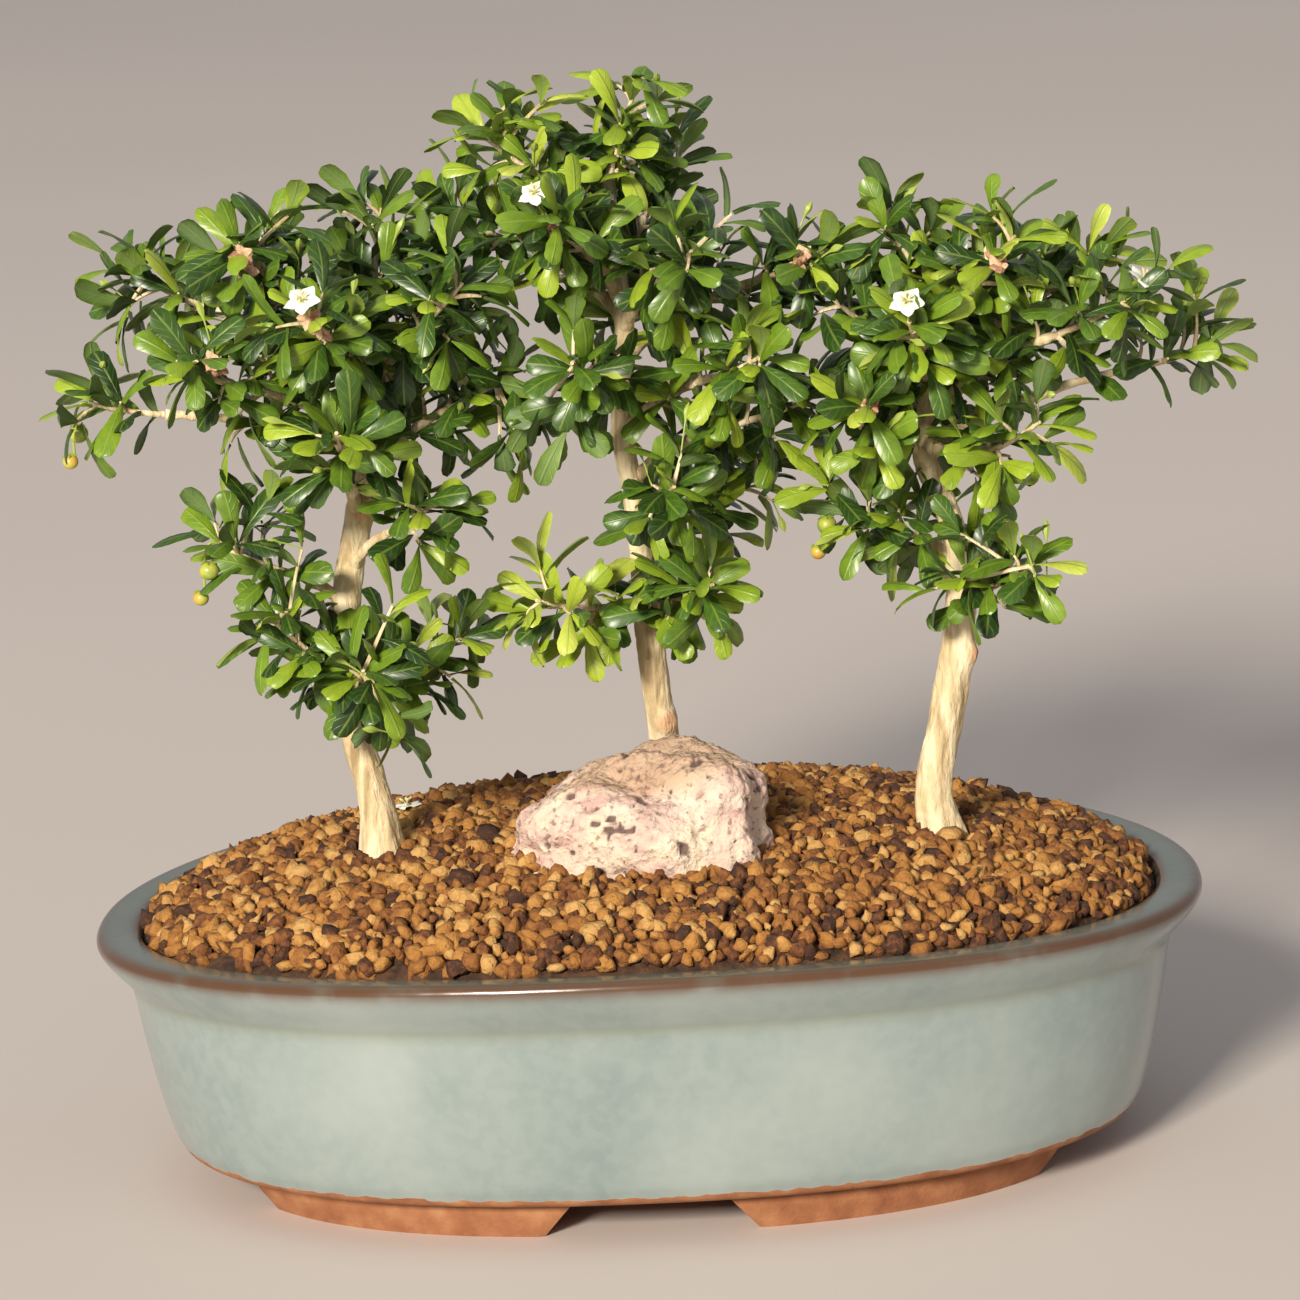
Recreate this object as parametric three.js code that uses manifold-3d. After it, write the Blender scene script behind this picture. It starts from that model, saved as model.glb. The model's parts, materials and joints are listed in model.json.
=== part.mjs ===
// A three tree forest planting of fukien tea in one glazed oval pot.
// Millimetres, +Z up, +X along the pot, the front at -Y.
// The origin is the middle of the bounding box's underside, which is the plane of the feet.
import * as THREE from "three";
import { mergeVertices } from "three/addons/utils/BufferGeometryUtils.js";
import Module from "manifold-3d";

const wasm = await Module();
wasm.setup();

const { Vector3 } = THREE;

// Pot: an oval, 12 inches long over the rim, whose rim rises a little at the long sides
const rimHalfLength = 152.5;
const rimHalfWidth = 112;
const rimEndHeight = 71;
const rimRise = 6;
const rimTopWidth = 12.2;
const rimPower = 2.15;
const basePower = 2.33;
const potSides = 40;
const floorTop = 17;
const glazeFoot = 11.5;
const undersideHeight = 10;
const straightWallHeight = 30;
const drainRadius = 9;
const drainDistance = 62;

// Feet: four flared bands under the oval's quarters
const footHalfLength = 118.2;
const footHalfWidth = 82.9;
const footFlareLength = 6.5;
const footFlareWidth = 3.2;
const footBandWidth = 15;
const footFirstAngle = 31;
const footLastAngle = 79;
const footEndSlope = 4.5;

// Drain screens under the soil
const screenSize = 27;
const screenThickness = 1.2;
const screenHole = 8.5;
const screenPitch = 11;

// Soil: a mound of coarse grit
const soilEdgeDrop = 3.5;
const moundHeight = 20;
const moundPower = 0.55;
const gritPitch = 9;
const gritRise = 1.8;
const gritHollow = 1.4;
const gritShift = 1.15;
const seatGap = 0.35;

// Rock
const rockCentre = new Vector3(0, -31, 91);
const rockHalf = new Vector3(34.5, 25, 26);
const rockBuried = 0.4;
const rockLean = 0.12;
const rockTaper = 0.16;
const rockRoughness = 1.7;

// Wood
const trunkSides = 6;
const branchSides = 3;
const branchSteps = 2;
const stalkSides = 3;
const stalkSteps = 3;
const branchTipRadius = 1.05;
const branchRootRadius = 2.1;
const jointGap = 0.3;

// Leafy sprays: a four sided twig whose leaves grow out of its faces
const twigLength = 20;
const twigRadius = 1.15;
const twigTipRadius = 0.85;
const twigLevels = 5;
const twigTwist = 0.38;
const sprayReach = 11;
const leafLength = 14.5;
const leafWidth = 7.2;
const leafThickness = 0.7;
const leafClearance = 1.7;
const ownLeafShare = 1;

// Blossoms and berries
const petalLength = 4.7;
const blossomThickness = 0.8;
const stalkRadius = 0.65;
const blossomReach = 5.5;
const blossomLift = 2.5;
const berryRadius = 2.7;
const berryReach = 5;
const berryDrop = 16;
const fallenPlace = [-68, 31];

// Each tree: its trunk from below the soil to the top as x, y, z, radius,
// and its sprays as the middle of the spray x, y, z and the height where its branch leaves the trunk.
const trees = [
  {
    name: "left",
    trunk: [
      [-70, -13, 64, 6.5],
      [-71, -13, 88, 5.9],
      [-72, -13, 102, 4.7],
      [-76, -11, 120, 4.1],
      [-79, -9, 138, 4.0],
      [-77, -8, 159, 4.2],
      [-74, -6, 174, 3.6],
      [-70, -4, 190, 3.4],
      [-67, -2, 208, 2.7],
      [-66, -1, 228, 2.1],
      [-65, 1, 242, 1.5],
    ],
    knots: [[-71, -7.5, 184, 4.6]],
    sprays: [
      [-132, -16, 216, 196],
      [-120, 8, 243, 212],
      [-93, -22, 252, 220],
      [-63, 8, 252, 232],
      [-105, -37, 226, 200],
      [-75, -42, 237, 212],
      [-44, -24, 240, 214],
      [-36, -4, 214, 192],
      [-72, -42, 206, 180],
      [-101, -16, 173, 157],
      [-55, -27, 184, 166],
      [-90, -20, 150, 134],
      [-54, -4, 142, 126],
      [-92, 36, 238, 208],
      [-48, 37, 228, 204],
      [-72, -34, 142, 128],
    ],
    blossoms: [5],
    berries: [0, 9],
  },
  {
    name: "middle",
    trunk: [
      [6, 18, 68, 5.4],
      [7, 18, 92, 4.7],
      [6, 18, 110, 4.1],
      [4, 16, 139, 3.7],
      [3, 15, 162, 3.5],
      [2, 14, 180, 3.3],
      [0, 13, 196, 3.2],
      [2, 12, 224, 2.7],
      [1, 12, 250, 2.1],
      [0, 12, 268, 1.6],
    ],
    knots: [[7.5, 14, 116, 3.8]],
    sprays: [
      [7, 10, 284, 264],
      [-25, 3, 275, 250],
      [15, 26, 263, 240],
      [-40, 26, 256, 230],
      [-12, -20, 258, 234],
      [19, -24, 248, 226],
      [49, -8, 244, 218],
      [-8, -29, 222, 204],
      [34, -24, 220, 197],
      [45, 3, 204, 184],
      [12, -18, 186, 172],
      [28, 18, 178, 162],
      [-18, -3, 154, 143],
      [18, -6, 156, 144],
      [0, 46, 238, 214],
    ],
    blossoms: [4],
    berries: [],
  },
  {
    name: "right",
    trunk: [
      [83, -14, 62, 6.4],
      [82, -14, 86, 5.7],
      [80, -14, 100, 4.8],
      [84, -13, 119, 4.7],
      [88, -12, 138, 4.5],
      [90, -10, 155, 4.0],
      [88, -8, 173, 3.5],
      [82, -6, 190, 3.1],
      [84, -5, 206, 2.7],
      [89, -4, 222, 2.2],
      [86, -2, 238, 1.6],
    ],
    knots: [[93.5, -14, 137, 3.6]],
    sprays: [
      [78, -6, 246, 228],
      [103, -20, 243, 220],
      [125, 4, 236, 208],
      [64, -12, 230, 208],
      [80, -40, 228, 206],
      [128, -24, 228, 200],
      [152, -2, 214, 190],
      [68, -28, 204, 186],
      [106, -29, 198, 180],
      [66, -2, 174, 160],
      [103, -27, 160, 147],
      [106, 36, 230, 206],
      [78, 36, 204, 184],
    ],
    blossoms: [4, 5],
    berries: [9],
  },
];

// The same draw between 0 and 1 for the same two whole numbers
function draw(row, column) {
  const value = Math.sin(row * 127.1 + column * 311.7) * 43758.5453;
  return value - Math.floor(value);
}

// Closed solid from a geometry, with shared corners merged and empty triangles left out
function solidFrom(geometry) {
  const bare = new THREE.BufferGeometry();
  bare.setAttribute("position", geometry.getAttribute("position"));
  bare.setIndex(geometry.index);
  const merged = mergeVertices(bare, 1e-4);
  const corners = merged.index.array;
  const kept = [];
  for (let i = 0; i < corners.length; i += 3) {
    const [a, b, c] = corners.slice(i, i + 3);
    if (a !== b && b !== c && c !== a) {
      kept.push(a, b, c);
    }
  }
  const mesh = new wasm.Mesh({
    numProp: 3,
    vertProperties: merged.attributes.position.array,
    triVerts: new Uint32Array(kept),
  });
  return new wasm.Manifold(mesh);
}

function joined(solids) {
  return solids.reduce((whole, next) => whole.add(next));
}

function geometryFrom(solid) {
  const mesh = solid.getMesh();
  const geometry = new THREE.BufferGeometry();
  const places = new Float32Array(mesh.vertProperties);
  geometry.setAttribute("position", new THREE.BufferAttribute(places, 3));
  geometry.setIndex(new THREE.BufferAttribute(new Uint32Array(mesh.triVerts), 1));
  geometry.computeVertexNormals();
  return geometry;
}

// Moves every corner of a geometry by a function of its place
function reshape(geometry, move) {
  const places = geometry.attributes.position;
  const point = new Vector3();
  for (let i = 0; i < places.count; i += 1) {
    point.fromBufferAttribute(places, i);
    const moved = move(point.clone());
    places.setXYZ(i, moved.x, moved.y, moved.z);
  }
  return geometry;
}

// Tube of changing radius along a curve, closed by flat ends
function taperedTube(curve, sides, steps, radiusAt) {
  const frames = curve.computeFrenetFrames(steps, false);
  const tube = new THREE.CylinderGeometry(1, 1, 1, sides, steps);
  return reshape(tube, (point) => {
    const share = point.y + 0.5;
    const step = Math.round(share * steps);
    const radius = radiusAt(share);
    return curve
      .getPointAt(share)
      .addScaledVector(frames.binormals[step], point.x * radius)
      .addScaledVector(frames.normals[step], point.z * radius);
  });
}

// Pot

// How much of the rim's rise a height takes part in
function riseShare(height) {
  const share = (height - straightWallHeight) / (rimEndHeight - straightWallHeight);
  return THREE.MathUtils.clamp(share, 0, 1);
}

function sideRise(x, height) {
  return rimRise * (1 - (x / rimHalfLength) ** 2) * riseShare(height);
}

// Point of the oval of one half length, turned by an angle
function ovalPoint(halfLength, halfWidth, power, angle) {
  const x = Math.sign(Math.sin(angle)) * Math.abs(Math.sin(angle)) ** (2 / power);
  const y = -Math.sign(Math.cos(angle)) * Math.abs(Math.cos(angle)) ** (2 / power);
  return [halfLength * x, halfWidth * y];
}

// Half width that goes with a half length: walls are as thick at the sides as at the ends
function halfWidthFor(halfLength) {
  const narrower = rimHalfLength - rimHalfWidth;
  const innermost = 110;
  if (halfLength > innermost) {
    return halfLength - narrower;
  }
  return (halfLength * (innermost - narrower)) / innermost;
}

// Turns a profile of half length and height into an oval body
function ovalBody(profile) {
  const points = profile.map(([halfLength, height]) => new THREE.Vector2(halfLength, height));
  const round = new THREE.LatheGeometry(points, potSides);
  return reshape(round, (point) => {
    const halfLength = Math.hypot(point.x, point.z);
    const angle = Math.atan2(point.x, point.z);
    const power = THREE.MathUtils.lerp(basePower, rimPower, riseShare(point.y));
    const [x, y] = ovalPoint(halfLength, halfWidthFor(halfLength), power, angle);
    return new Vector3(x, y, point.y + sideRise(x, point.y));
  });
}

const innerRim = rimHalfLength - rimTopWidth;
const potProfile = [
  [0, undersideHeight],
  [129, undersideHeight],
  [132.6, glazeFoot],
  [135.4, 17],
  [139, 32],
  [141.6, 45],
  [143.4, 56.5],
  [145.6, 59.5],
  [149.8, 64],
  [rimHalfLength - 0.2, 68],
  [rimHalfLength, 69.8],
  [rimHalfLength - 1.4, rimEndHeight],
  [innerRim, rimEndHeight - 0.9],
  [innerRim - 1, 65],
  [134, 44],
  [129.5, 25],
  [118, floorTop],
  [0, floorTop],
];

// Foot: a box bent along the oval, flared outwards and longer at its top, mirrored to its quarter
function footSolid(turn) {
  const footTop = undersideHeight + 1;
  const steps = 5;
  const box = new THREE.BoxGeometry(1, 1, 1, steps, 1, 1);
  const middle = THREE.MathUtils.degToRad((footFirstAngle + footLastAngle) / 2);
  const halfSpan = THREE.MathUtils.degToRad((footLastAngle - footFirstAngle) / 2);
  const slope = THREE.MathUtils.degToRad(footEndSlope);
  const foot = reshape(box, (point) => {
    const up = point.z + 0.5;
    const inset = (0.5 - point.y) * footBandWidth;
    const fromEnd = middle + 2 * point.x * (halfSpan + slope * up);
    const [x, y] = ovalPoint(
      footHalfLength + footFlareLength * up - inset,
      footHalfWidth + footFlareWidth * up - inset,
      basePower,
      Math.PI / 2 - fromEnd,
    );
    return new Vector3(x, -y, up * footTop);
  });
  const placed = reshape(foot, (point) => new Vector3(turn.x * point.x, turn.y * point.y, point.z));
  const isTurnedInsideOut = turn.x * turn.y > 0;
  if (isTurnedInsideOut) {
    placed.index.array.reverse();
  }
  return solidFrom(placed);
}

// The four feet's quarters and the two ends of the pot
const quarters = [1, -1].flatMap((x) => [1, -1].map((y) => ({ x, y })));
const sides = [-1, 1];

function drainHole(side) {
  const hole = new THREE.CylinderGeometry(drainRadius, drainRadius, 2 * floorTop, 20);
  hole.rotateX(Math.PI / 2);
  hole.translate(side * drainDistance, 0, floorTop / 2);
  return solidFrom(hole);
}

const potBody = joined([solidFrom(ovalBody(potProfile)), ...quarters.map(footSolid)]);
const pot = sides.reduce((body, side) => body.subtract(drainHole(side)), potBody);

// Drain screen: a square of coarse mesh that lies on the pot's floor over a hole
function drainScreen(side) {
  const plate = solidFrom(new THREE.BoxGeometry(screenSize, screenSize, screenThickness));
  const hole = new THREE.BoxGeometry(screenHole, screenHole, 2 * screenThickness);
  const steps = [-0.5, 0.5];
  const holes = steps.flatMap((across) =>
    steps.map((along) =>
      solidFrom(hole.clone().translate(across * screenPitch, along * screenPitch, 0)),
    ),
  );
  const height = floorTop + jointGap + screenThickness / 2;
  return plate.subtract(joined(holes)).translate([side * drainDistance, 0, height]);
}

// Soil

const innerHalfWidth = rimHalfWidth - rimTopWidth;

// Height of the mound without its grit
function moundAt(x, y) {
  const along = Math.abs(x / innerRim) ** rimPower;
  const across = Math.abs(y / innerHalfWidth) ** rimPower;
  const inside = Math.max(0, 1 - along - across);
  const edge = rimEndHeight - soilEdgeDrop + sideRise(x, rimEndHeight);
  return edge + moundHeight * inside ** moundPower;
}

// Block whose top is a three way lattice: every third point is a grain, the others are hollows
function gritBlock() {
  const rows = 34;
  const columns = 62;
  const rowPitch = (gritPitch * Math.sqrt(3)) / 2;
  const block = new THREE.BoxGeometry(columns, rows, 1, columns, rows, 1);
  return reshape(block, (point) => {
    const row = Math.round(point.y);
    const column = Math.round(point.x);
    const isGrain = (((column + row) % 3) + 3) % 3 === 0;
    const onRim = Math.abs(row) === rows / 2 || Math.abs(column) === columns / 2;
    const shift = onRim ? 0 : gritShift;
    const x = (column - row / 2) * gritPitch + shift * (2 * draw(row, column) - 1);
    const y = row * rowPitch + shift * (2 * draw(row + 500, column) - 1);
    if (point.z < 0) {
      return new Vector3(x, y, 0);
    }
    const grain = isGrain ? gritRise * (0.7 + 0.6 * draw(row, column + 500)) : -gritHollow;
    return new Vector3(x, y, moundAt(x, y) + grain);
  });
}

const soilProfile = [
  [0, floorTop + jointGap],
  [118 - jointGap, floorTop + jointGap],
  [129.5 - seatGap, 25 + jointGap],
  [134 - seatGap, 44],
  [innerRim - 1 - seatGap, 65],
  [innerRim - seatGap, rimEndHeight],
  [innerRim - seatGap, 2 * rimEndHeight],
  [0, 2 * rimEndHeight],
];

// Rock: an egg of lumps, low and narrow at its left end, steep at its right one
function rockSolid(extra) {
  const ball = new THREE.IcosahedronGeometry(1, 3);
  const rock = reshape(ball, (point) => {
    const lumps =
      Math.sin(5.1 * point.x + 1.3) * Math.cos(4.3 * point.y - 0.6) +
      0.8 * Math.sin(6.7 * point.z + 3.1 * point.x) +
      0.6 * Math.cos(8.9 * point.y + 5.3 * point.x + 2.0);
    const size = 1 + (rockRoughness * lumps + extra) / rockHalf.y;
    const narrow = 1 + rockTaper * point.x;
    const flatter = point.z > 0 ? point.z ** 0.8 : point.z * rockBuried;
    const z = rockHalf.z * flatter * size * (1 + 0.12 * point.x);
    const x = rockHalf.x * point.x * size + rockLean * z;
    const y = rockHalf.y * point.y * size * narrow;
    return new Vector3(x, y, z).add(rockCentre);
  });
  return solidFrom(rock);
}

// Trees

// Middle and radius of a trunk at a height, straight between its listed points
function trunkAt(tree, height) {
  const after = tree.trunk.findIndex((point) => point[2] >= height);
  const last = after < 0 ? tree.trunk.length - 1 : Math.max(after, 1);
  const lower = tree.trunk[last - 1];
  const upper = tree.trunk[last];
  const share = Math.min(1, (height - lower[2]) / (upper[2] - lower[2]));
  const [x, y, z, radius] = lower.map((value, i) => THREE.MathUtils.lerp(value, upper[i], share));
  return { centre: new Vector3(x, y, z), radius };
}

function trunkCurve(tree) {
  return new THREE.CatmullRomCurve3(tree.trunk.map(([x, y, z]) => new Vector3(x, y, z)));
}

function trunkSolid(tree, extra) {
  const curve = trunkCurve(tree);
  const steps = tree.trunk.length;
  const radiusAt = (share) => trunkAt(tree, curve.getPointAt(share).z).radius + extra;
  return solidFrom(taperedTube(curve, trunkSides, steps, radiusAt));
}

// Branch and twig of one spray: where each starts, bends and ends
function sprayPath(tree, order) {
  const [x, y, z, startHeight] = tree.sprays[order];
  const middle = new Vector3(x, y, z);
  const root = trunkAt(tree, startHeight).centre;
  const away = middle.clone().sub(root);
  const heading = new Vector3(away.x, away.y, 0.7 * away.z).normalize();
  const branchEnd = middle.clone().addScaledVector(heading, -sprayReach);
  const bend = new Vector3(
    THREE.MathUtils.lerp(root.x, branchEnd.x, 0.5),
    THREE.MathUtils.lerp(root.y, branchEnd.y, 0.5),
    THREE.MathUtils.lerp(root.z, branchEnd.z, 0.5),
  ).addScaledVector(heading, -0.12 * away.length());
  bend.z += 0.1 * away.length();
  const ahead = branchEnd.clone().sub(bend).normalize();
  const twigStart = branchEnd.clone().addScaledVector(ahead, jointGap);
  const twigBend = twigStart.clone().addScaledVector(ahead, twigLength / 2);
  const twigEnd = twigStart.clone().addScaledVector(ahead, twigLength);
  twigEnd.z += 2.5;
  const branch = new THREE.QuadraticBezierCurve3(root, bend, branchEnd);
  const twig = new THREE.QuadraticBezierCurve3(twigStart, twigBend, twigEnd);
  return { branch, twig };
}

function branchSolid(path) {
  const radiusAt = (share) => THREE.MathUtils.lerp(branchRootRadius, branchTipRadius, share);
  return solidFrom(taperedTube(path.branch, branchSides, branchSteps, radiusAt));
}

function knotSolid([x, y, z, radius]) {
  const knot = new THREE.IcosahedronGeometry(radius, 0);
  knot.translate(x, y, z);
  return solidFrom(knot);
}

// Points that leaves keep clear of, each with a reach and the spray that it belongs to
const taken = [];

function takeCurve(curve, reach, owner) {
  const steps = Math.ceil(curve.getLength() / 3);
  for (let i = 0; i <= steps; i += 1) {
    taken.push({ point: curve.getPoint(i / steps), reach, owner });
  }
}

function isClear(points, owner) {
  return points.every((point) =>
    taken.every((other) => {
      const share = other.owner === owner ? ownLeafShare : 1;
      return point.distanceTo(other.point) > share * (leafClearance + other.reach);
    }),
  );
}

// Stalk that carries on from the twig's end, rising to a blossom or hanging with berries
function stalkCurve(twig, reach, fall) {
  const ahead = twig.getTangent(1);
  const start = twig.getPoint(1).addScaledVector(ahead, jointGap);
  const bend = start.clone().addScaledVector(ahead, reach);
  const end = bend.clone();
  end.z -= fall;
  return new THREE.QuadraticBezierCurve3(start, bend, end);
}

// Direction out of a twig at a turn round it
function twigOutward(forward, turn) {
  const side = new Vector3(0.05, 0.12, 1).cross(forward).normalize();
  const rise = forward.clone().cross(side);
  return side.multiplyScalar(Math.cos(turn)).addScaledVector(rise, Math.sin(turn));
}

// Leaf frame: along the midrib, across the blade and out of its upper face
function leafFrame(twig, share, turn, lean, roll) {
  const forward = twig.getTangent(share);
  const outward = twigOutward(forward, turn);
  const along = forward.clone().multiplyScalar(Math.cos(lean)).addScaledVector(outward, Math.sin(lean));
  const facing = new Vector3(0, 0, 0.8).add(forward);
  facing.addScaledVector(along, -facing.dot(along)).normalize();
  const level = facing.clone().cross(along);
  const upper = facing.clone().multiplyScalar(Math.cos(roll)).addScaledVector(level, Math.sin(roll));
  const across = upper.clone().cross(along);
  return { root: twig.getPoint(share), along, across, upper };
}

// Point of a leaf's middle surface: share of its length, share of its half width
function leafPoint(leaf, lengthShare, widthShare) {
  const { root, along, across, upper } = leaf.frame;
  const half = (leaf.length * leafWidth) / leafLength / 2;
  const arch = leaf.length * (0.14 * lengthShare - 0.3 * lengthShare ** 2);
  const wave = 0.16 * half * widthShare * Math.sin(leaf.phase + 4 * lengthShare);
  return root
    .clone()
    .addScaledVector(along, twigRadius + leaf.length * lengthShare)
    .addScaledVector(across, half * widthShare)
    .addScaledVector(upper, arch + wave);
}

// Share of a leaf's length and of its half width at its widest place and at its blunt tip
const leafSections = [
  [0.6, 1],
  [1, 0.5],
];

// Places on a leaf that are tested for room, given in the same two shares
const leafTests = [
  [0.2, 0],
  [0.4, 0],
  [0.6, -1],
  [0.6, 0],
  [0.6, 1],
  [0.85, -0.5],
  [0.85, 0.5],
  [1, 0],
];

// Leaves of one spray, in pairs on opposite faces of the twig, from its tip down.
// Each tries a few bearings and is left out where none is clear of the rest of the planting.
function leavesOf(twig, order, owner) {
  const leaves = [];
  for (let level = twigLevels - 1; level >= 0; level -= 1) {
    for (const face of [level % 2, (level % 2) + 2]) {
      const share = (level + 0.5) / twigLevels;
      const seed = 60 * order + 4 * level + face;
      const length = leafLength * (0.86 + 0.32 * draw(seed, 1));
      const roll = 0.7 * (draw(seed, 2) - 0.5);
      const phase = 6.28 * draw(seed, 3);
      const usualTurn = twigTwist * (level + 0.5) + (face + 0.5) * (Math.PI / 2);
      const usualLean = THREE.MathUtils.lerp(1.3, 0.55, share) + 0.3 * (draw(seed, 4) - 0.5);
      for (const [turned, leant] of [[0, 0], [0.4, 0], [-0.4, 0], [0.2, 0.25], [-0.2, -0.25]]) {
        const frame = leafFrame(twig, share, usualTurn + turned, usualLean + leant, roll);
        const leaf = { frame, length, phase, level, face };
        const tests = leafTests.map(([along, across]) => leafPoint(leaf, along, across));
        if (isClear(tests, owner)) {
          leaves.push(leaf);
          tests.forEach((point) => taken.push({ point, reach: leafClearance, owner }));
          break;
        }
      }
    }
  }
  return leaves;
}

// Solid of one spray: the twig's faces, with a leaf drawn out of each face that carries one
function spraySolid(twig, leaves) {
  const places = [];
  const corners = [];
  const addCorner = (point) => places.push(...point.toArray()) / 3 - 1;
  const addQuad = (a, b, c, d) => corners.push(a, b, c, a, c, d);

  // Joins four corners, lower left, lower right, upper right and upper left, to the next four
  const addStretch = ([a, b, c, d], [nextA, nextB, nextC, nextD]) => {
    addQuad(a, b, nextB, nextA);
    addQuad(b, c, nextC, nextB);
    addQuad(d, nextD, nextC, c);
    addQuad(d, a, nextA, nextD);
  };

  const leafCorner = (leaf, lengthShare, widthShare, face) =>
    addCorner(
      leafPoint(leaf, lengthShare, widthShare).addScaledVector(leaf.frame.upper, (face * leafThickness) / 2),
    );

  const addLeaf = (leaf, base) => {
    const sections = leafSections.map(([lengthShare, widthShare]) => [
      leafCorner(leaf, lengthShare, -widthShare, -1),
      leafCorner(leaf, lengthShare, widthShare, -1),
      leafCorner(leaf, lengthShare, widthShare, 1),
      leafCorner(leaf, lengthShare, -widthShare, 1),
    ]);
    [base, ...sections].slice(0, -1).forEach((section, i) => addStretch(section, sections[i]));
    const [a, b, c, d] = sections.at(-1);
    addQuad(a, b, c, d);
  };

  const rings = [];
  for (let level = 0; level <= twigLevels; level += 1) {
    const share = level / twigLevels;
    const radius = THREE.MathUtils.lerp(twigRadius, twigTipRadius, share);
    const forward = twig.getTangent(share);
    const ring = [0, 1, 2, 3].map((corner) => {
      const outward = twigOutward(forward, twigTwist * level + (corner * Math.PI) / 2);
      return addCorner(twig.getPoint(share).addScaledVector(outward, radius));
    });
    rings.push(ring);
  }
  addQuad(rings[0][3], rings[0][2], rings[0][1], rings[0][0]);
  addQuad(...rings[twigLevels]);
  for (let level = 0; level < twigLevels; level += 1) {
    for (let face = 0; face < 4; face += 1) {
      const next = (face + 1) % 4;
      const [lower, upper] = [rings[level], rings[level + 1]];
      const base = [lower[face], lower[next], upper[next], upper[face]];
      const leaf = leaves.find((one) => one.level === level && one.face === face);
      if (leaf) {
        addLeaf(leaf, base);
      } else {
        addQuad(...base);
      }
    }
  }
  const spray = new THREE.BufferGeometry();
  spray.setAttribute("position", new THREE.Float32BufferAttribute(places, 3));
  spray.setIndex(corners);
  return solidFrom(spray);
}

// Solid blade from an outline and one inner point, both faces split alike
function bladeSolid(outline, inner, upper, thickness) {
  const count = outline.length;
  const places = [];
  for (const face of [0.5, -0.5]) {
    for (const point of [...outline, inner]) {
      places.push(...point.clone().addScaledVector(upper, face * thickness).toArray());
    }
  }
  const corners = [];
  for (let i = 0; i < count; i += 1) {
    const next = (i + 1) % count;
    const below = count + 1;
    corners.push(count, i, next);
    corners.push(below + count, below + next, below + i);
    corners.push(i, below + i, below + next);
    corners.push(i, below + next, next);
  }
  const blade = new THREE.BufferGeometry();
  blade.setAttribute("position", new THREE.Float32BufferAttribute(places, 3));
  blade.setIndex(corners);
  return solidFrom(blade);
}

function stalkSolid(curve) {
  return solidFrom(taperedTube(curve, stalkSides, stalkSteps, () => stalkRadius));
}

// Five round petals as one thin star, facing a direction
function starSolid(centre, facing, extra) {
  const size = petalLength + extra;
  const side = new Vector3(0.3, 1, 0.2).cross(facing).normalize();
  const rise = facing.clone().cross(side);
  const outline = [];
  for (let petal = 0; petal < 5; petal += 1) {
    for (const [turn, reach, lift] of [[-0.63, 0.4, 0], [-0.3, 0.95, 0.1], [0.3, 0.95, 0.1]]) {
      const angle = petal * 1.2566 + turn;
      outline.push(
        centre
          .clone()
          .addScaledVector(side, reach * size * Math.cos(angle))
          .addScaledVector(rise, reach * size * Math.sin(angle))
          .addScaledVector(facing, lift * petalLength),
      );
    }
  }
  return bladeSolid(outline, centre, facing, blossomThickness + 2 * extra);
}

function blossomSolid(stalk) {
  const facing = stalk.getTangent(0).add(new Vector3(0, 0, 0.5)).normalize();
  return stalkSolid(stalk).add(starSolid(stalk.getPoint(1), facing, 0));
}

// The blossom that fell on the grit lies on the mound's slope
function fallenBlossom(extra) {
  const [x, y] = fallenPlace;
  const step = 2;
  const slopeX = (moundAt(x + step, y) - moundAt(x - step, y)) / (2 * step);
  const slopeY = (moundAt(x, y + step) - moundAt(x, y - step)) / (2 * step);
  const facing = new Vector3(-slopeX, -slopeY, 1).normalize();
  return starSolid(new Vector3(x, y, moundAt(x, y) + gritRise / 2), facing, extra);
}

function berrySolid(stalk) {
  const berries = [0.72, 1].map((share, i) => {
    const berry = new THREE.OctahedronGeometry(berryRadius * (1 - 0.2 * i), 1);
    const centre = stalk.getPoint(share);
    berry.translate(centre.x + 1.2 - 2.4 * i, centre.y, centre.z - berryRadius * 0.5);
    return solidFrom(berry);
  });
  return joined([stalkSolid(stalk), ...berries]);
}

// Colours and finishes
const glaze = new THREE.MeshStandardMaterial({ color: 0x9fb3a3, roughness: 0.2, metalness: 0 });
const plastic = new THREE.MeshStandardMaterial({ color: 0x20231f, roughness: 0.7, metalness: 0 });
const grit = new THREE.MeshStandardMaterial({ color: 0xa9622f, roughness: 0.95, metalness: 0 });
const paleStone = new THREE.MeshStandardMaterial({ color: 0xe7cfb6, roughness: 0.9, metalness: 0 });
const bark = new THREE.MeshStandardMaterial({ color: 0xcdb184, roughness: 0.85, metalness: 0 });
const foliage = new THREE.MeshStandardMaterial({ color: 0x3f7a26, roughness: 0.35, metalness: 0 });
const petals = new THREE.MeshStandardMaterial({ color: 0xf4f2e6, roughness: 0.6, metalness: 0 });
const fruit = new THREE.MeshStandardMaterial({ color: 0xb9b84a, roughness: 0.4, metalness: 0 });

const planting = new THREE.Group();

function addPiece(name, solid, material) {
  const piece = new THREE.Mesh(geometryFrom(solid), material);
  piece.name = name;
  planting.add(piece);
}

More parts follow.
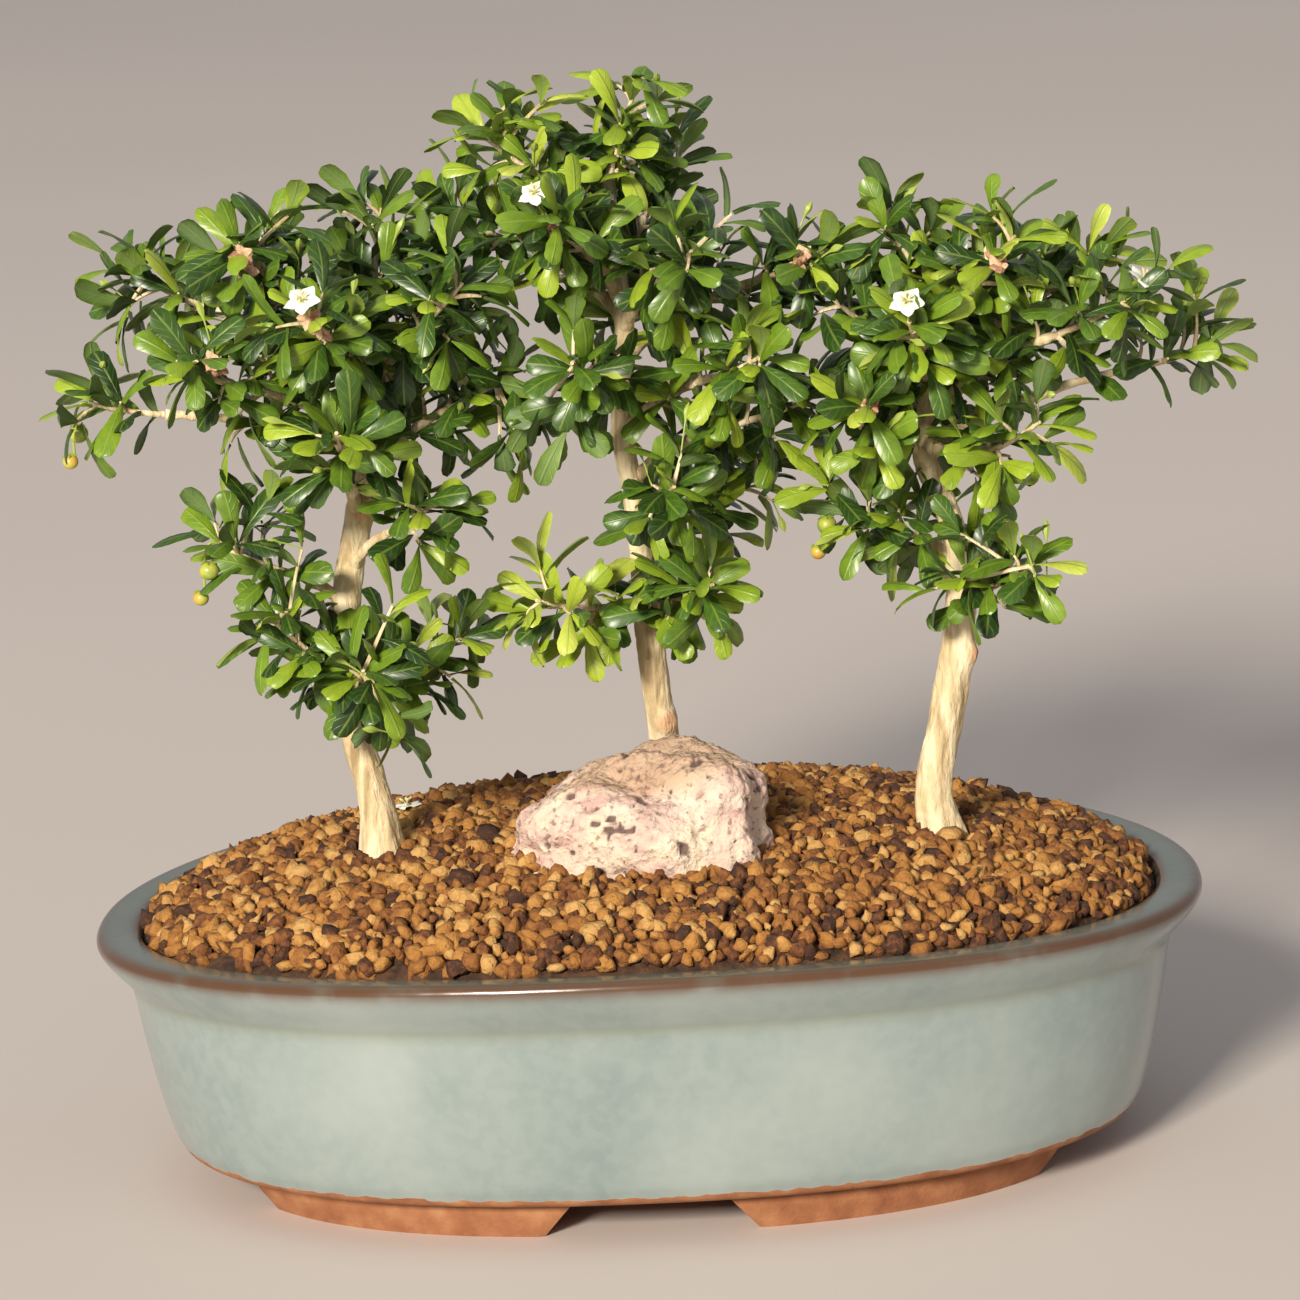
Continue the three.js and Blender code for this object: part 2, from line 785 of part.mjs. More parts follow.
// Skeleton of every tree first, so that leaves keep clear of all wood
for (const tree of trees) {
  tree.paths = tree.sprays.map((_, order) => sprayPath(tree, order));
  takeCurve(trunkCurve(tree), 4, "");
  tree.paths.forEach((path, order) => {
    takeCurve(path.branch, branchRootRadius, "");
    takeCurve(path.twig, twigRadius, `${tree.name}_spray_${order + 1}`);
  });
  tree.blossomStalks = tree.blossoms.map((order) =>
    stalkCurve(tree.paths[order].twig, blossomReach, -blossomLift),
  );
  tree.berryStalks = tree.berries.map((order) =>
    stalkCurve(tree.paths[order].twig, berryReach, berryDrop),
  );
  tree.blossomStalks.forEach((stalk) => {
    takeCurve(stalk, 1, "");
    taken.push({ point: stalk.getPoint(1), reach: petalLength, owner: "" });
  });
  tree.berryStalks.forEach((stalk) => takeCurve(stalk, berryRadius + 0.6, ""));
}

const gritMound = solidFrom(gritBlock()).intersect(solidFrom(ovalBody(soilProfile)));
const screenPockets = sides.map((side) => {
  const size = screenSize + 2 * seatGap;
  const pocket = new THREE.BoxGeometry(size, size, 2 * (screenThickness + 2 * jointGap));
  pocket.translate(side * drainDistance, 0, floorTop + jointGap);
  return solidFrom(pocket);
});
const soilHollows = [
  rockSolid(seatGap),
  fallenBlossom(seatGap),
  ...trees.map((tree) => trunkSolid(tree, seatGap)),
  ...screenPockets,
];
const soil = soilHollows.reduce((whole, hollow) => whole.subtract(hollow), gritMound);

addPiece("pot", pot, glaze);
addPiece("drain_screen_left", drainScreen(-1), plastic);
addPiece("drain_screen_right", drainScreen(1), plastic);
addPiece("soil", soil, grit);
addPiece("rock", rockSolid(0), paleStone);
addPiece("fallen_blossom", fallenBlossom(0), petals);

let sprayNumber = 0;
for (const tree of trees) {
  const wood = joined([
    trunkSolid(tree, 0),
    ...tree.knots.map(knotSolid),
    ...tree.paths.map(branchSolid),
  ]);
  addPiece(`${tree.name}_tree_wood`, wood, bark);
  tree.paths.forEach((path, order) => {
    sprayNumber += 1;
    const name = `${tree.name}_spray_${order + 1}`;
    addPiece(name, spraySolid(path.twig, leavesOf(path.twig, sprayNumber, name)), foliage);
  });
  tree.blossomStalks.forEach((stalk, i) => {
    addPiece(`${tree.name}_blossom_${i + 1}`, blossomSolid(stalk), petals);
  });
  tree.berryStalks.forEach((stalk, i) => {
    addPiece(`${tree.name}_berries_${i + 1}`, berrySolid(stalk), fruit);
  });
}

// The origin moves to the middle of the bounding box's underside
const extent = new THREE.Box3().setFromObject(planting);
const middle = extent.getCenter(new Vector3());
planting.position.set(-middle.x, -middle.y, -extent.min.z);

export default planting;
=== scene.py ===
"""A forest planting of three fukien tea trees with a pale rock in a glazed oval pot.

Every shape is a formula on a grid, worked out in millimetres round the middle of the pot:
+X to the right, +Y to the back, +Z up from the feet. The last step of each piece puts it
into the frame, in metres.
"""

import json

import bpy
import numpy as np
from mathutils import Matrix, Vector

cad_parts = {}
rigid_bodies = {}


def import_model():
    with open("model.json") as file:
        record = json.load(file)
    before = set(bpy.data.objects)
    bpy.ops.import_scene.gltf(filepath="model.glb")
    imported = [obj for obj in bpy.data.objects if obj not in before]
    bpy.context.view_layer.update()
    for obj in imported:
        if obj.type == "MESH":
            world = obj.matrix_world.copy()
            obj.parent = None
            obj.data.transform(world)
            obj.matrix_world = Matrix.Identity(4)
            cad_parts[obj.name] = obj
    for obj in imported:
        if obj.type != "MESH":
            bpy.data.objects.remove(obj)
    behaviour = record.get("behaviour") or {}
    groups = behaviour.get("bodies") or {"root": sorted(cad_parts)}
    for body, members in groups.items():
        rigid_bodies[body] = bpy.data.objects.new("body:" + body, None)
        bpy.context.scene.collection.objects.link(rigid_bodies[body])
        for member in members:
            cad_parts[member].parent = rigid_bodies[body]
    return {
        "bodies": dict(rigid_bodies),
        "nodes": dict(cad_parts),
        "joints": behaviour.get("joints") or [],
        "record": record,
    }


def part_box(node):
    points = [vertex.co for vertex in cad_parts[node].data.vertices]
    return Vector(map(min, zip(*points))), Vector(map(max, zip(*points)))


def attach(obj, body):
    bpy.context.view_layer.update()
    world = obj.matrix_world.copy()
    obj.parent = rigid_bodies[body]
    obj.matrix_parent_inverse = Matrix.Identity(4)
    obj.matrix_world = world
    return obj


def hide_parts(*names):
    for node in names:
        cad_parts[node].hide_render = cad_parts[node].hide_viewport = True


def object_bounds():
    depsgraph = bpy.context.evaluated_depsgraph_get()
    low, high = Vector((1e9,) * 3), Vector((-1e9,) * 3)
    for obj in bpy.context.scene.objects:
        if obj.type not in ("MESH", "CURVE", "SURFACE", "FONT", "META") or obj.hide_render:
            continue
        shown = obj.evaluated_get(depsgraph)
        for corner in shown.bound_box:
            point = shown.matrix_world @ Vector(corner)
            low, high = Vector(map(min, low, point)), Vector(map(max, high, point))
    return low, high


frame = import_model()
cad_box = [list(corner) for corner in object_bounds()]

# The frame's own middle of the pot, in metres
pot_low, pot_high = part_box("pot")
POT_MIDDLE = np.array([(pot_low.x + pot_high.x) / 2, (pot_low.y + pot_high.y) / 2, pot_low.z])
METRES = 0.001

# Leaves keep inside the frame's box and this much more, in millimetres round the pot's middle
BOX_MARGIN = 2.0
BOX_LOW = (np.array(cad_box[0]) - POT_MIDDLE) / METRES - BOX_MARGIN
BOX_HIGH = (np.array(cad_box[1]) - POT_MIDDLE) / METRES + BOX_MARGIN

# Pot: half sizes over the rim and heights
RIM_HALF_LENGTH = 152.5
RIM_HALF_WIDTH = 112.0
RIM_END_HEIGHT = 71.0
RIM_RISE = 6.0
RIM_TOP_WIDTH = 12.2
RIM_POWER = 2.15
BASE_POWER = 2.33
STRAIGHT_WALL_HEIGHT = 30.0
FLOOR_TOP = 17.0
GLAZE_FOOT = 11.5
UNDERSIDE_HEIGHT = 10.0
DRAIN_RADIUS = 9.0
DRAIN_DISTANCE = 62.0
POT_SIDES = 240

# Feet
FOOT_HALF_LENGTH = 118.2
FOOT_HALF_WIDTH = 82.9
FOOT_FLARE_LENGTH = 6.5
FOOT_FLARE_WIDTH = 3.2
FOOT_BAND_WIDTH = 15.0
FOOT_FIRST_ANGLE = 31.0
FOOT_LAST_ANGLE = 79.0
FOOT_END_SLOPE = 4.5

# Soil and its grit
SOIL_EDGE_DROP = 3.5
MOUND_HEIGHT = 20.0
MOUND_POWER = 0.55
GRAIN_PITCH = 4.05
GRAIN_SIZE = 2.6

# Rock
ROCK_CENTRE = np.array([0.0, -31.0, 91.0])
ROCK_HALF = np.array([34.5, 25.0, 26.0])
ROCK_BURIED = 0.4
ROCK_LEAN = 0.12
ROCK_TAPER = 0.16
ROCK_ROUGHNESS = 1.7
ROCK_POWER = 2.5
PIT_DEPTH = 1.6

# Wood
BRANCH_ROOT_RADIUS = 2.1
BRANCH_TIP_RADIUS = 1.05
JOINT_GAP = 0.3
SHOOT_RADIUS = 0.55

# Short leafy shoots: their places as shares of the branch's length, then of the leading twig's
BRANCH_SHOOTS = (0.44, 0.55, 0.66, 0.77, 0.88, 0.98)
TWIG_SHOOTS = (0.1, 0.3, 0.5, 0.7, 0.9)
LEAVES_PER_SHOOT = 5
SHORTEST_SHOOT = 4.0
LONGEST_SHOOT = 11.0
BUDS_PER_SPRAY = 3

# The last shoots of a spray, which keep their leaves in the open air too
TIP_SHOOTS = 2

# Sprays without shoots along their branch, so their trunks show between them
OPEN_SPRAYS = ("left_spray_10", "left_spray_11", "middle_spray_11")

# Gaps between the leaves in front of the trunks: middle x, y, z and half sizes across and up
GLIMPSES = np.array(
    [
        (-73, -6, 179, 7, 13),
        (1, 12, 228, 5, 9),
        (0, 13, 194, 6, 10),
        (4, 16, 135, 5, 8),
        (82, -6, 195, 6, 13),
        (91, -13, 136, 8, 8),
    ],
    float,
)

# How much higher the camera sees a thing for each step that it is further back
VIEW_SLOPE = 0.21

# Open air between the tiers of leaves, as the camera sees it: middle x, z and half sizes across and up
OPEN_AIR = np.array(
    [
        (-118, 208, 15, 12),
        (-117, 171, 10, 17),
        (-40, 148, 13, 12),
        (-19, 166, 15, 9),
        (-86, 120, 14, 11),
        (46, 175, 14, 9),
        (119, 195, 14, 16),
        (146, 204, 15, 7),
        (102, 139, 16, 7),
        (121, 159, 7, 13),
        (34, 151, 8, 9),
        (-15, 219, 7, 11),
        (57, 233, 5, 11),
        (30, 275, 7, 9),
    ],
    float,
)

# Ends of longer shoots that fill out the crowns
LONG_SHOOTS = {
    "left_spray_8": [(-27, -8, 198), (-22, -4, 206), (-33, -4, 198)],
    "middle_spray_8": [(-14, -22, 203), (-20, -18, 210)],
    "middle_spray_2": [(-15, 0, 291), (-24, 0, 292)],
    "left_spray_3": [(-83, -27, 267), (-97, -27, 256)],
    "left_spray_4": [(-75, 12, 264)],
    "left_spray_2": [(-135, 10, 251), (-135, 10, 235)],
    "right_spray_6": [(147, -27, 240)],
    "right_spray_7": [(156, -1, 230)],
    "left_spray_10": [(-95, -19, 189)],
    "left_spray_12": [(-86, -25, 177)],
    "left_spray_16": [(-61, -43, 164), (-61, -43, 128)],
    "middle_spray_6": [(34, -32, 262)],
    "right_spray_11": [(90, -34, 174), (80, -34, 159)],
}
GOLDEN_ANGLE = 2.4

# Leafy twigs
TWIG_LENGTH = 20.0
TWIG_RADIUS = 1.0
TWIG_TIP_RADIUS = 0.55
TWIG_LEVELS = 5
TWIG_TWIST = 0.38
TWIG_LIFT = 2.5
SPRAY_REACH = 11.0

# Leaves
LEAF_LENGTH = 14.5
LEAF_WIDTH = 7.2
SHOOT_LEAF_LENGTH = 16.5
LEAF_THICKNESS = 0.35
BLADE_ROWS = 8
BLADE_COLUMNS = 5

# How young the leaves of a few sprays look, added to their tint
YOUNG_SPRAYS = {
    "middle_spray_13": 0.25,
    "middle_spray_2": 0.2,
    "middle_spray_14": 0.1,
    "left_spray_5": 0.1,
}
OLD_LEAF_TINT = 0.17

# Blossoms and berries
PETAL_LENGTH = 4.7
PETAL_WIDTH = 3.3
SEPAL_WIDTH = 1.1
BLOSSOM_REACH = 5.5
BLOSSOM_LIFT = 2.5
STALK_RADIUS = 0.4

# Trees and places in their lists of the sprays that bear dried blossoms
DRIED_BLOSSOMS = [
    ("left", 2),
    ("left", 4),
    ("left", 5),
    ("middle", 4),
    ("middle", 6),
    ("right", 7),
    ("right", 1),
]
BERRY_RADIUS = 2.7
BERRY_REACH = 5.0
BERRY_DROP = 16.0
FALLEN_PLACE = (-68.0, 31.0)

# Each tree: its trunk from below the soil to the top as x, y, z, radius, its scars alike,
# and its sprays as the middle of the spray x, y, z and the height where its branch leaves the trunk
TREES = {
    "left": {
        "trunk": [
            (-70, -13, 64, 6.5), (-71, -13, 88, 5.9), (-72, -13, 102, 4.7), (-76, -11, 120, 4.1),
            (-79, -9, 138, 4.0), (-77, -8, 159, 4.2), (-74, -6, 174, 3.6), (-70, -4, 190, 3.4),
            (-67, -2, 208, 2.7), (-66, -1, 228, 2.1), (-65, 1, 242, 1.5),
        ],
        "scars": [(-71, -7.5, 184, 4.6)],
        "sprays": [
            (-132, -16, 216, 196), (-120, 8, 243, 212), (-93, -22, 252, 220), (-63, 8, 252, 232),
            (-105, -37, 226, 200), (-75, -42, 237, 212), (-44, -24, 240, 214), (-36, -4, 214, 192),
            (-72, -42, 206, 180), (-101, -16, 173, 157), (-55, -27, 184, 166), (-90, -20, 150, 134),
            (-54, -4, 142, 126), (-92, 36, 238, 208), (-48, 37, 228, 204), (-72, -34, 142, 128),
        ],
        "blossoms": [5],
        "berries": [0, 9],
    },
    "middle": {
        "trunk": [
            (6, 18, 68, 5.4), (7, 18, 92, 4.7), (6, 18, 110, 4.1), (4, 16, 139, 3.7),
            (3, 15, 162, 3.5), (2, 14, 180, 3.3), (0, 13, 196, 3.2), (2, 12, 224, 2.7),
            (1, 12, 250, 2.1), (0, 12, 268, 1.6),
        ],
        "scars": [(7.5, 14, 116, 3.8)],
        "sprays": [
            (7, 10, 284, 264), (-25, 3, 275, 250), (15, 26, 263, 240), (-40, 26, 256, 230),
            (-12, -20, 258, 234), (19, -24, 248, 226), (49, -8, 244, 218), (-8, -29, 222, 204),
            (34, -24, 220, 197), (45, 3, 204, 184), (12, -18, 186, 172), (28, 18, 178, 162),
            (-18, -3, 154, 143), (18, -6, 156, 144), (0, 46, 238, 214),
        ],
        "blossoms": [4],
        "berries": [],
    },
    "right": {
        "trunk": [
            (83, -14, 62, 6.4), (82, -14, 86, 5.7), (80, -14, 100, 4.8), (84, -13, 119, 4.7),
            (88, -12, 138, 4.5), (90, -10, 155, 4.0), (88, -8, 173, 3.5), (82, -6, 190, 3.1),
            (84, -5, 206, 2.7), (89, -4, 222, 2.2), (86, -2, 238, 1.6),
        ],
        "scars": [(93.5, -14, 137, 3.6)],
        "sprays": [
            (78, -6, 246, 228), (103, -20, 243, 220), (125, 4, 236, 208), (64, -12, 230, 208),
            (80, -40, 228, 206), (128, -24, 228, 200), (152, -2, 214, 190), (68, -28, 204, 186),
            (106, -29, 198, 180), (66, -2, 174, 160), (103, -27, 160, 147), (106, 36, 230, 206),
            (78, 36, 204, 184),
        ],
        "blossoms": [4, 5],
        "berries": [9],
    },
}


# Arrays of vectors


def unit(vectors):
    """Each vector divided by its length."""
    return vectors / np.maximum(np.linalg.norm(vectors, axis=-1, keepdims=True), 1e-12)


def along_part(vectors, directions):
    """Each vector's product with its direction, kept as a column."""
    return np.sum(vectors * directions, axis=-1, keepdims=True)


def mix(first, second, share):
    """First plus the share of the way to second."""
    return first + (second - first) * share


def eased(value, low, high):
    """0 below low, 1 above high, and a smooth step between them."""
    share = np.clip((value - low) / (high - low), 0, 1)
    return share * share * (3 - 2 * share)


def draw(row, column):
    """The same draw between 0 and 1 for the same two whole numbers: the far digits of a sine."""
    value = np.sin(np.asarray(row) * 127.1 + np.asarray(column) * 311.7) * 43758.5453
    return value - np.floor(value)


def noise(points, seed=0.0):
    """Smooth noise between -1 and 1: one draw at each corner of a unit lattice, eased between corners."""
    cell = np.floor(points)
    inside = points - cell
    share = inside * inside * (3 - 2 * inside)
    total = np.zeros(points.shape[:-1])
    for corner in np.ndindex(2, 2, 2):
        place = cell + corner
        value = np.sin(place @ np.array([127.1, 311.7, 74.7]) + 19.19 * seed) * 43758.5453
        weight = np.prod(np.where(corner, share, 1 - share), axis=-1)
        total += weight * (value - np.floor(value))
    return 2 * total - 1


def rough(points, size, octaves, seed=0.0):
    """Sum of noises, the first with bumps of one size, each next one half as large and half as high."""
    return sum(noise(points / size * 2**k, seed + k) / 2**k for k in range(octaves))


# Surfaces and pieces


def grid_quads(rows, columns, wrap=True):
    """Faces of a grid of points, row after row, whose last column meets the first where it wraps."""
    across = columns if wrap else columns - 1
    row, column = np.meshgrid(np.arange(rows - 1), np.arange(across), indexing="ij")
    a = row * columns + column
    b = row * columns + (column + 1) % columns
    return np.stack([a, b, b + columns, a + columns], axis=-1).reshape(-1, 4)


class Surface:
    """The points and faces of one piece, gathered part by part, with values at its points."""

    def __init__(self, *value_names):
        self.points = []
        self.faces = {}
        self.values = {name: [] for name in value_names}
        self.count = 0

    def add(self, points, face_sets, material=0, **values):
        """Adds points and arrays of faces that count from the part's own first point."""
        points = np.asarray(points, float).reshape(-1, 3)
        for faces in face_sets:
            key = (faces.shape[1], material)
            self.faces.setdefault(key, []).append(faces + self.count)
        for name, held in self.values.items():
            held.append(np.broadcast_to(values.get(name, 0.0), len(points)).astype(np.float32))
        self.points.append(points)
        self.count += len(points)

    def thing(self, name, materials, sharp=None):
        """Makes the mesh object, with its place in its mesh."""
        points = np.concatenate(self.points) * METRES + POT_MIDDLE
        groups = [(np.concatenate(faces), key[1]) for key, faces in self.faces.items()]
        corners = np.concatenate([faces.ravel() for faces, _ in groups])
        sizes = np.concatenate([np.full(len(faces), faces.shape[1]) for faces, _ in groups])
        indices = np.concatenate([np.full(len(faces), index) for faces, index in groups])
        mesh = bpy.data.meshes.new(name)
        mesh.vertices.add(len(points))
        mesh.vertices.foreach_set("co", points.ravel())
        mesh.loops.add(len(corners))
        mesh.loops.foreach_set("vertex_index", corners.astype(np.int32))
        mesh.polygons.add(len(sizes))
        mesh.polygons.foreach_set("loop_start", (np.cumsum(sizes) - sizes).astype(np.int32))
        mesh.polygons.foreach_set("material_index", indices.astype(np.int32))
        mesh.update(calc_edges=True)
        for value_name, held in self.values.items():
            attribute = mesh.attributes.new(value_name, "FLOAT", "POINT")
            attribute.data.foreach_set("value", np.concatenate(held))
        if sharp != 0:
            mesh.shade_smooth()
        if sharp:
            mesh.set_sharp_from_angle(angle=np.radians(sharp))
        for material in materials:
            mesh.materials.append(material)
        thing = bpy.data.objects.new(name, mesh)
        bpy.context.scene.collection.objects.link(thing)
        return thing

    def piece(self, name, materials, nodes=(), sharp=None):
        """Makes the object and has it ride on the frame and stand for its nodes.

        Edges sharper than the angle stay sharp, and 0 leaves every face flat.
        """
        thing = self.thing(name, materials, sharp)
        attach(thing, "root")
        if nodes:
            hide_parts(*nodes)
        return thing


def swept(paths, radii, sides, relief=None):
    """Round skins along many paths at once: a circle of each radius, square to the path's direction.

    Paths are an array of path, step and place. The circle's sides point along the cross product of the
    direction with a fixed side vector, so the skins don't twist. Relief is added to the radius.
    """
    directions = unit(np.gradient(paths, axis=1))
    reference = np.broadcast_to(np.array([0.31, 0.93, 0.17]), directions.shape)
    side = unit(np.cross(directions, reference))
    rise = np.cross(directions, side)
    turns = np.arange(sides) * 2 * np.pi / sides
    spokes = (
        side[:, :, None, :] * np.cos(turns)[:, None]
        + rise[:, :, None, :] * np.sin(turns)[:, None]
    )
    radius = np.broadcast_to(radii[:, :, None], (*radii.shape, sides))
    skin = paths[:, :, None, :] + spokes * radius[..., None]
    if relief is not None:
        skin = skin + spokes * relief(skin, turns)[..., None]
    return skin


def tube_faces(count, steps, sides):
    """Faces of many skins of rings, with a many sided cap at both ends of each."""
    first = (np.arange(count) * steps * sides)[:, None, None]
    quads = (grid_quads(steps, sides) + first).reshape(-1, 4)
    ring = np.arange(sides)
    caps = np.stack([ring[::-1], ring + (steps - 1) * sides])
    return [quads, (caps + first).reshape(-1, sides)]


def add_tubes(surface, paths, radii, sides, relief=None, material=0, **values):
    """Adds round skins along many paths to a surface, closed at both ends."""
    skin = swept(paths, radii, sides, relief)
    count, steps = radii.shape
    surface.add(skin, tube_faces(count, steps, sides), material, **values)


def bezier(start, bend, end, steps):
    """Curves from start to end that lean towards bend, for arrays of places."""
    share = np.linspace(0, 1, steps)[:, None]
    start, bend, end = (np.asarray(p, float)[..., None, :] for p in (start, bend, end))
    return start * (1 - share) ** 2 + 2 * bend * share * (1 - share) + end * share**2


def smooth_path(points, steps):
    """Cubic curve through listed points, with the slope at each one that of its two neighbours."""
    points = np.asarray(points, float)
    slopes = np.gradient(points, axis=0)
    place = np.linspace(0, len(points) - 1, steps)
    before = np.minimum(place.astype(int), len(points) - 2)
    share = (place - before)[:, None]
    start, end = points[before], points[before + 1]
    return (
        start * (1 + 2 * share) * (1 - share) ** 2
        + slopes[before] * share * (1 - share) ** 2
        + end * share**2 * (3 - 2 * share)
        + slopes[before + 1] * share**2 * (share - 1)
    )


# Pot


def rise_share(height):
    """How much of the rim's rise a height takes part in: none on the lower wall, all at the rim."""
    return np.clip((height - STRAIGHT_WALL_HEIGHT) / (RIM_END_HEIGHT - STRAIGHT_WALL_HEIGHT), 0, 1)


def side_rise(x, height):
    """The rim's rise at the long sides, falling with the square of the distance from the middle."""
    return RIM_RISE * (1 - (x / RIM_HALF_LENGTH) ** 2) * rise_share(height)


def oval(half_length, half_width, power, angle):
    """Point of an oval: the sine and cosine of an angle, each raised to 2 over the power."""
    across, back = np.sin(angle), -np.cos(angle)
    x = half_length * np.sign(across) * np.abs(across) ** (2 / power)
    y = half_width * np.sign(back) * np.abs(back) ** (2 / power)
    return x, y


def half_width_for(half_length):
    """Half width that goes with a half length: the same wall all round, shrinking to nothing inside."""
    narrower = RIM_HALF_LENGTH - RIM_HALF_WIDTH
    innermost = 110.0
    inner = half_length * (innermost - narrower) / innermost
    return np.where(half_length > innermost, half_length - narrower, inner)


def rounded(profile, times):
    """A profile with its corners cut off a quarter of the way along each side, several times over."""
    profile = np.asarray(profile, float)
    for _ in range(times):
        near = mix(profile[:-1], profile[1:], 0.25)
        far = mix(profile[:-1], profile[1:], 0.75)
        middle = np.stack([near, far], axis=1).reshape(-1, 2)
        profile = np.concatenate([profile[:1], middle[1:-1], profile[-1:]])
    return profile


def oval_skin(profile, sides):
    """Carries a profile of half length and height round an oval, rising at its long sides."""
    half_length, height = profile[:, :1], profile[:, 1:]
    angle = np.arange(sides) * 2 * np.pi / sides
    power = mix(BASE_POWER, RIM_POWER, rise_share(height))
    x, y = oval(half_length, half_width_for(half_length), power, angle)
    return np.stack([x, y, height + side_rise(x, height)], axis=-1)


def closed_skin_faces(rows, sides):
    """Faces of a skin of rings whose first and last points are single points on the axis."""
    quads = grid_quads(rows - 2, sides) + 1
    ring = np.arange(sides)
    following = (ring + 1) % sides
    last = (rows - 2) * sides + 1
    bottom = np.stack([np.zeros(sides, int), following + 1, ring + 1], axis=-1)
    top_ring = (rows - 3) * sides + 1
    top = np.stack([np.full(sides, last), top_ring + ring, top_ring + following], axis=-1)
    return [quads, bottom, top]


def skin_values(*grids):
    """Values on the same rings, one at each point of the closed skin."""
    return [np.concatenate([grid[0, :1], grid[1:-1].ravel(), grid[-1, :1]]) for grid in grids]


def add_closed_skin(surface, rings, material=0, **values):
    """Adds rings of points, the first and the last of which are drawn together into one point."""
    rows, sides = rings.shape[:2]
    points = np.concatenate([rings[0, :1], rings[1:-1].reshape(-1, 3), rings[-1, :1]])
    surface.add(points, closed_skin_faces(rows, sides), material, **values)


INNER_RIM = RIM_HALF_LENGTH - RIM_TOP_WIDTH
POT_PROFILE = [
    (0, UNDERSIDE_HEIGHT),
    (60, UNDERSIDE_HEIGHT),
    (129, UNDERSIDE_HEIGHT),
    (132.6, GLAZE_FOOT),
    (133.8, 13.8),
    (135.4, 17),
    (139, 32),
    (141.6, 45),
    (143.4, 56.5),
    (145.6, 59.5),
    (149.8, 64),
    (RIM_HALF_LENGTH - 0.2, 67.4),
    (RIM_HALF_LENGTH, 69.4),
    (RIM_HALF_LENGTH - 1.2, RIM_END_HEIGHT),
    (RIM_HALF_LENGTH - 4.0, RIM_END_HEIGHT),
    (INNER_RIM + 2.5, RIM_END_HEIGHT - 0.5),
    (INNER_RIM, RIM_END_HEIGHT - 1.2),
    (INNER_RIM - 1, 65),
    (134, 44),
    (129.5, 25),
    (118, FLOOR_TOP),
    (60, FLOOR_TOP),
    (0, FLOOR_TOP),
]


def foot_skin(turn_x, turn_y):
    """One foot: a rounded square section carried along a quarter of the oval, its ends drawn in.

    The section's height sets how far the foot flares outwards and how far its ends lean out.
    """
    corner = np.array([(-1, -1), (1, -1), (1, 1), (-1, 1)], float)
    square = rounded(np.concatenate([corner, corner[:1]]), 3)[:-1]
    square = np.concatenate([square[:0:-1], square[:1]])
    steps = 48
    share = np.linspace(-1, 1, steps)[:, None]
    draw_in = 1 - 0.06 * eased(np.abs(share), 0.985, 1.0)
    up = (square[:, 1] * draw_in + 1) / 2
    inset = (1 + square[:, 0] * draw_in) / 2 * FOOT_BAND_WIDTH
    middle = np.radians((FOOT_FIRST_ANGLE + FOOT_LAST_ANGLE) / 2)
    half_span = np.radians((FOOT_LAST_ANGLE - FOOT_FIRST_ANGLE) / 2)
    from_end = middle + share * (half_span + np.radians(FOOT_END_SLOPE) * up)
    x, y = oval(
        FOOT_HALF_LENGTH + FOOT_FLARE_LENGTH * up - inset,
        FOOT_HALF_WIDTH + FOOT_FLARE_WIDTH * up - inset,
        BASE_POWER,
        np.pi / 2 - from_end,
    )
    return np.stack([turn_x * x, turn_y * y, up * (UNDERSIDE_HEIGHT + 1)], axis=-1)


def pot_values(profile, rings):
    """Four values of each point: how near it is to the edges where the glaze thins, how much glaze pools in
    the line under the rim, how far it is inside the rim, which the glaze finish darkens as painted shade on
    the inner wall, and how bare of glaze it is.
    """
    x, height = profile.T
    outer_edge = (RIM_HALF_LENGTH - 0.4, RIM_END_HEIGHT - 1.2)
    inner_edge = (INNER_RIM + 0.8, RIM_END_HEIGHT - 0.9)
    edges = np.array([outer_edge, inner_edge])
    distance = np.linalg.norm(profile[:, None, :] - edges, axis=-1)
    edge = np.exp(-((distance / (2.6, 1.5)) ** 2)).max(axis=1)
    pool = np.exp(-(((height - 57.5) / 1.6) ** 2)) * (x > 142)
    past_the_edge = np.arange(len(x)) > np.argmax(x)
    # How far up the inner wall towards the rim a point is: the glaze finish darkens this band as painted
    # shade.
    inside = past_the_edge * eased(height, 40, RIM_END_HEIGHT - 3)
    bare = np.where(past_the_edge, 0, 1 - eased(height, GLAZE_FOOT + 0.8, GLAZE_FOOT + 2.8))
    values = (edge, pool, inside, bare)
    return skin_values(*(np.broadcast_to(value[:, None], rings.shape[:2]) for value in values))


def without_drain_holes(bowl):
    """Cuts the two round drain holes out of the bowl's floor."""
    for side in (-1, 1):
        plug = Surface()
        height = np.array([(0.0, 2.0), (DRAIN_RADIUS, 2.0), (DRAIN_RADIUS, 25.0), (0.0, 25.0)])
        turn = np.arange(64) * 2 * np.pi / 64
        x = side * DRAIN_DISTANCE + height[:, :1] * np.cos(turn)
        y = height[:, :1] * np.sin(turn)
        rings = np.stack([x, y, np.broadcast_to(height[:, 1:], x.shape)], axis=-1)
        add_closed_skin(plug, rings)
        cutter = plug.thing("drain_cutter", [])
        cut = bowl.modifiers.new("drain", "BOOLEAN")
        cut.object = cutter
        cut.operation = "DIFFERENCE"
        cut.solver = "MANIFOLD"
        graph = bpy.context.evaluated_depsgraph_get()
        mesh = bpy.data.meshes.new_from_object(bowl.evaluated_get(graph), depsgraph=graph)
        bowl.modifiers.clear()
        bowl.data = mesh
        bpy.data.objects.remove(cutter)
    return bowl


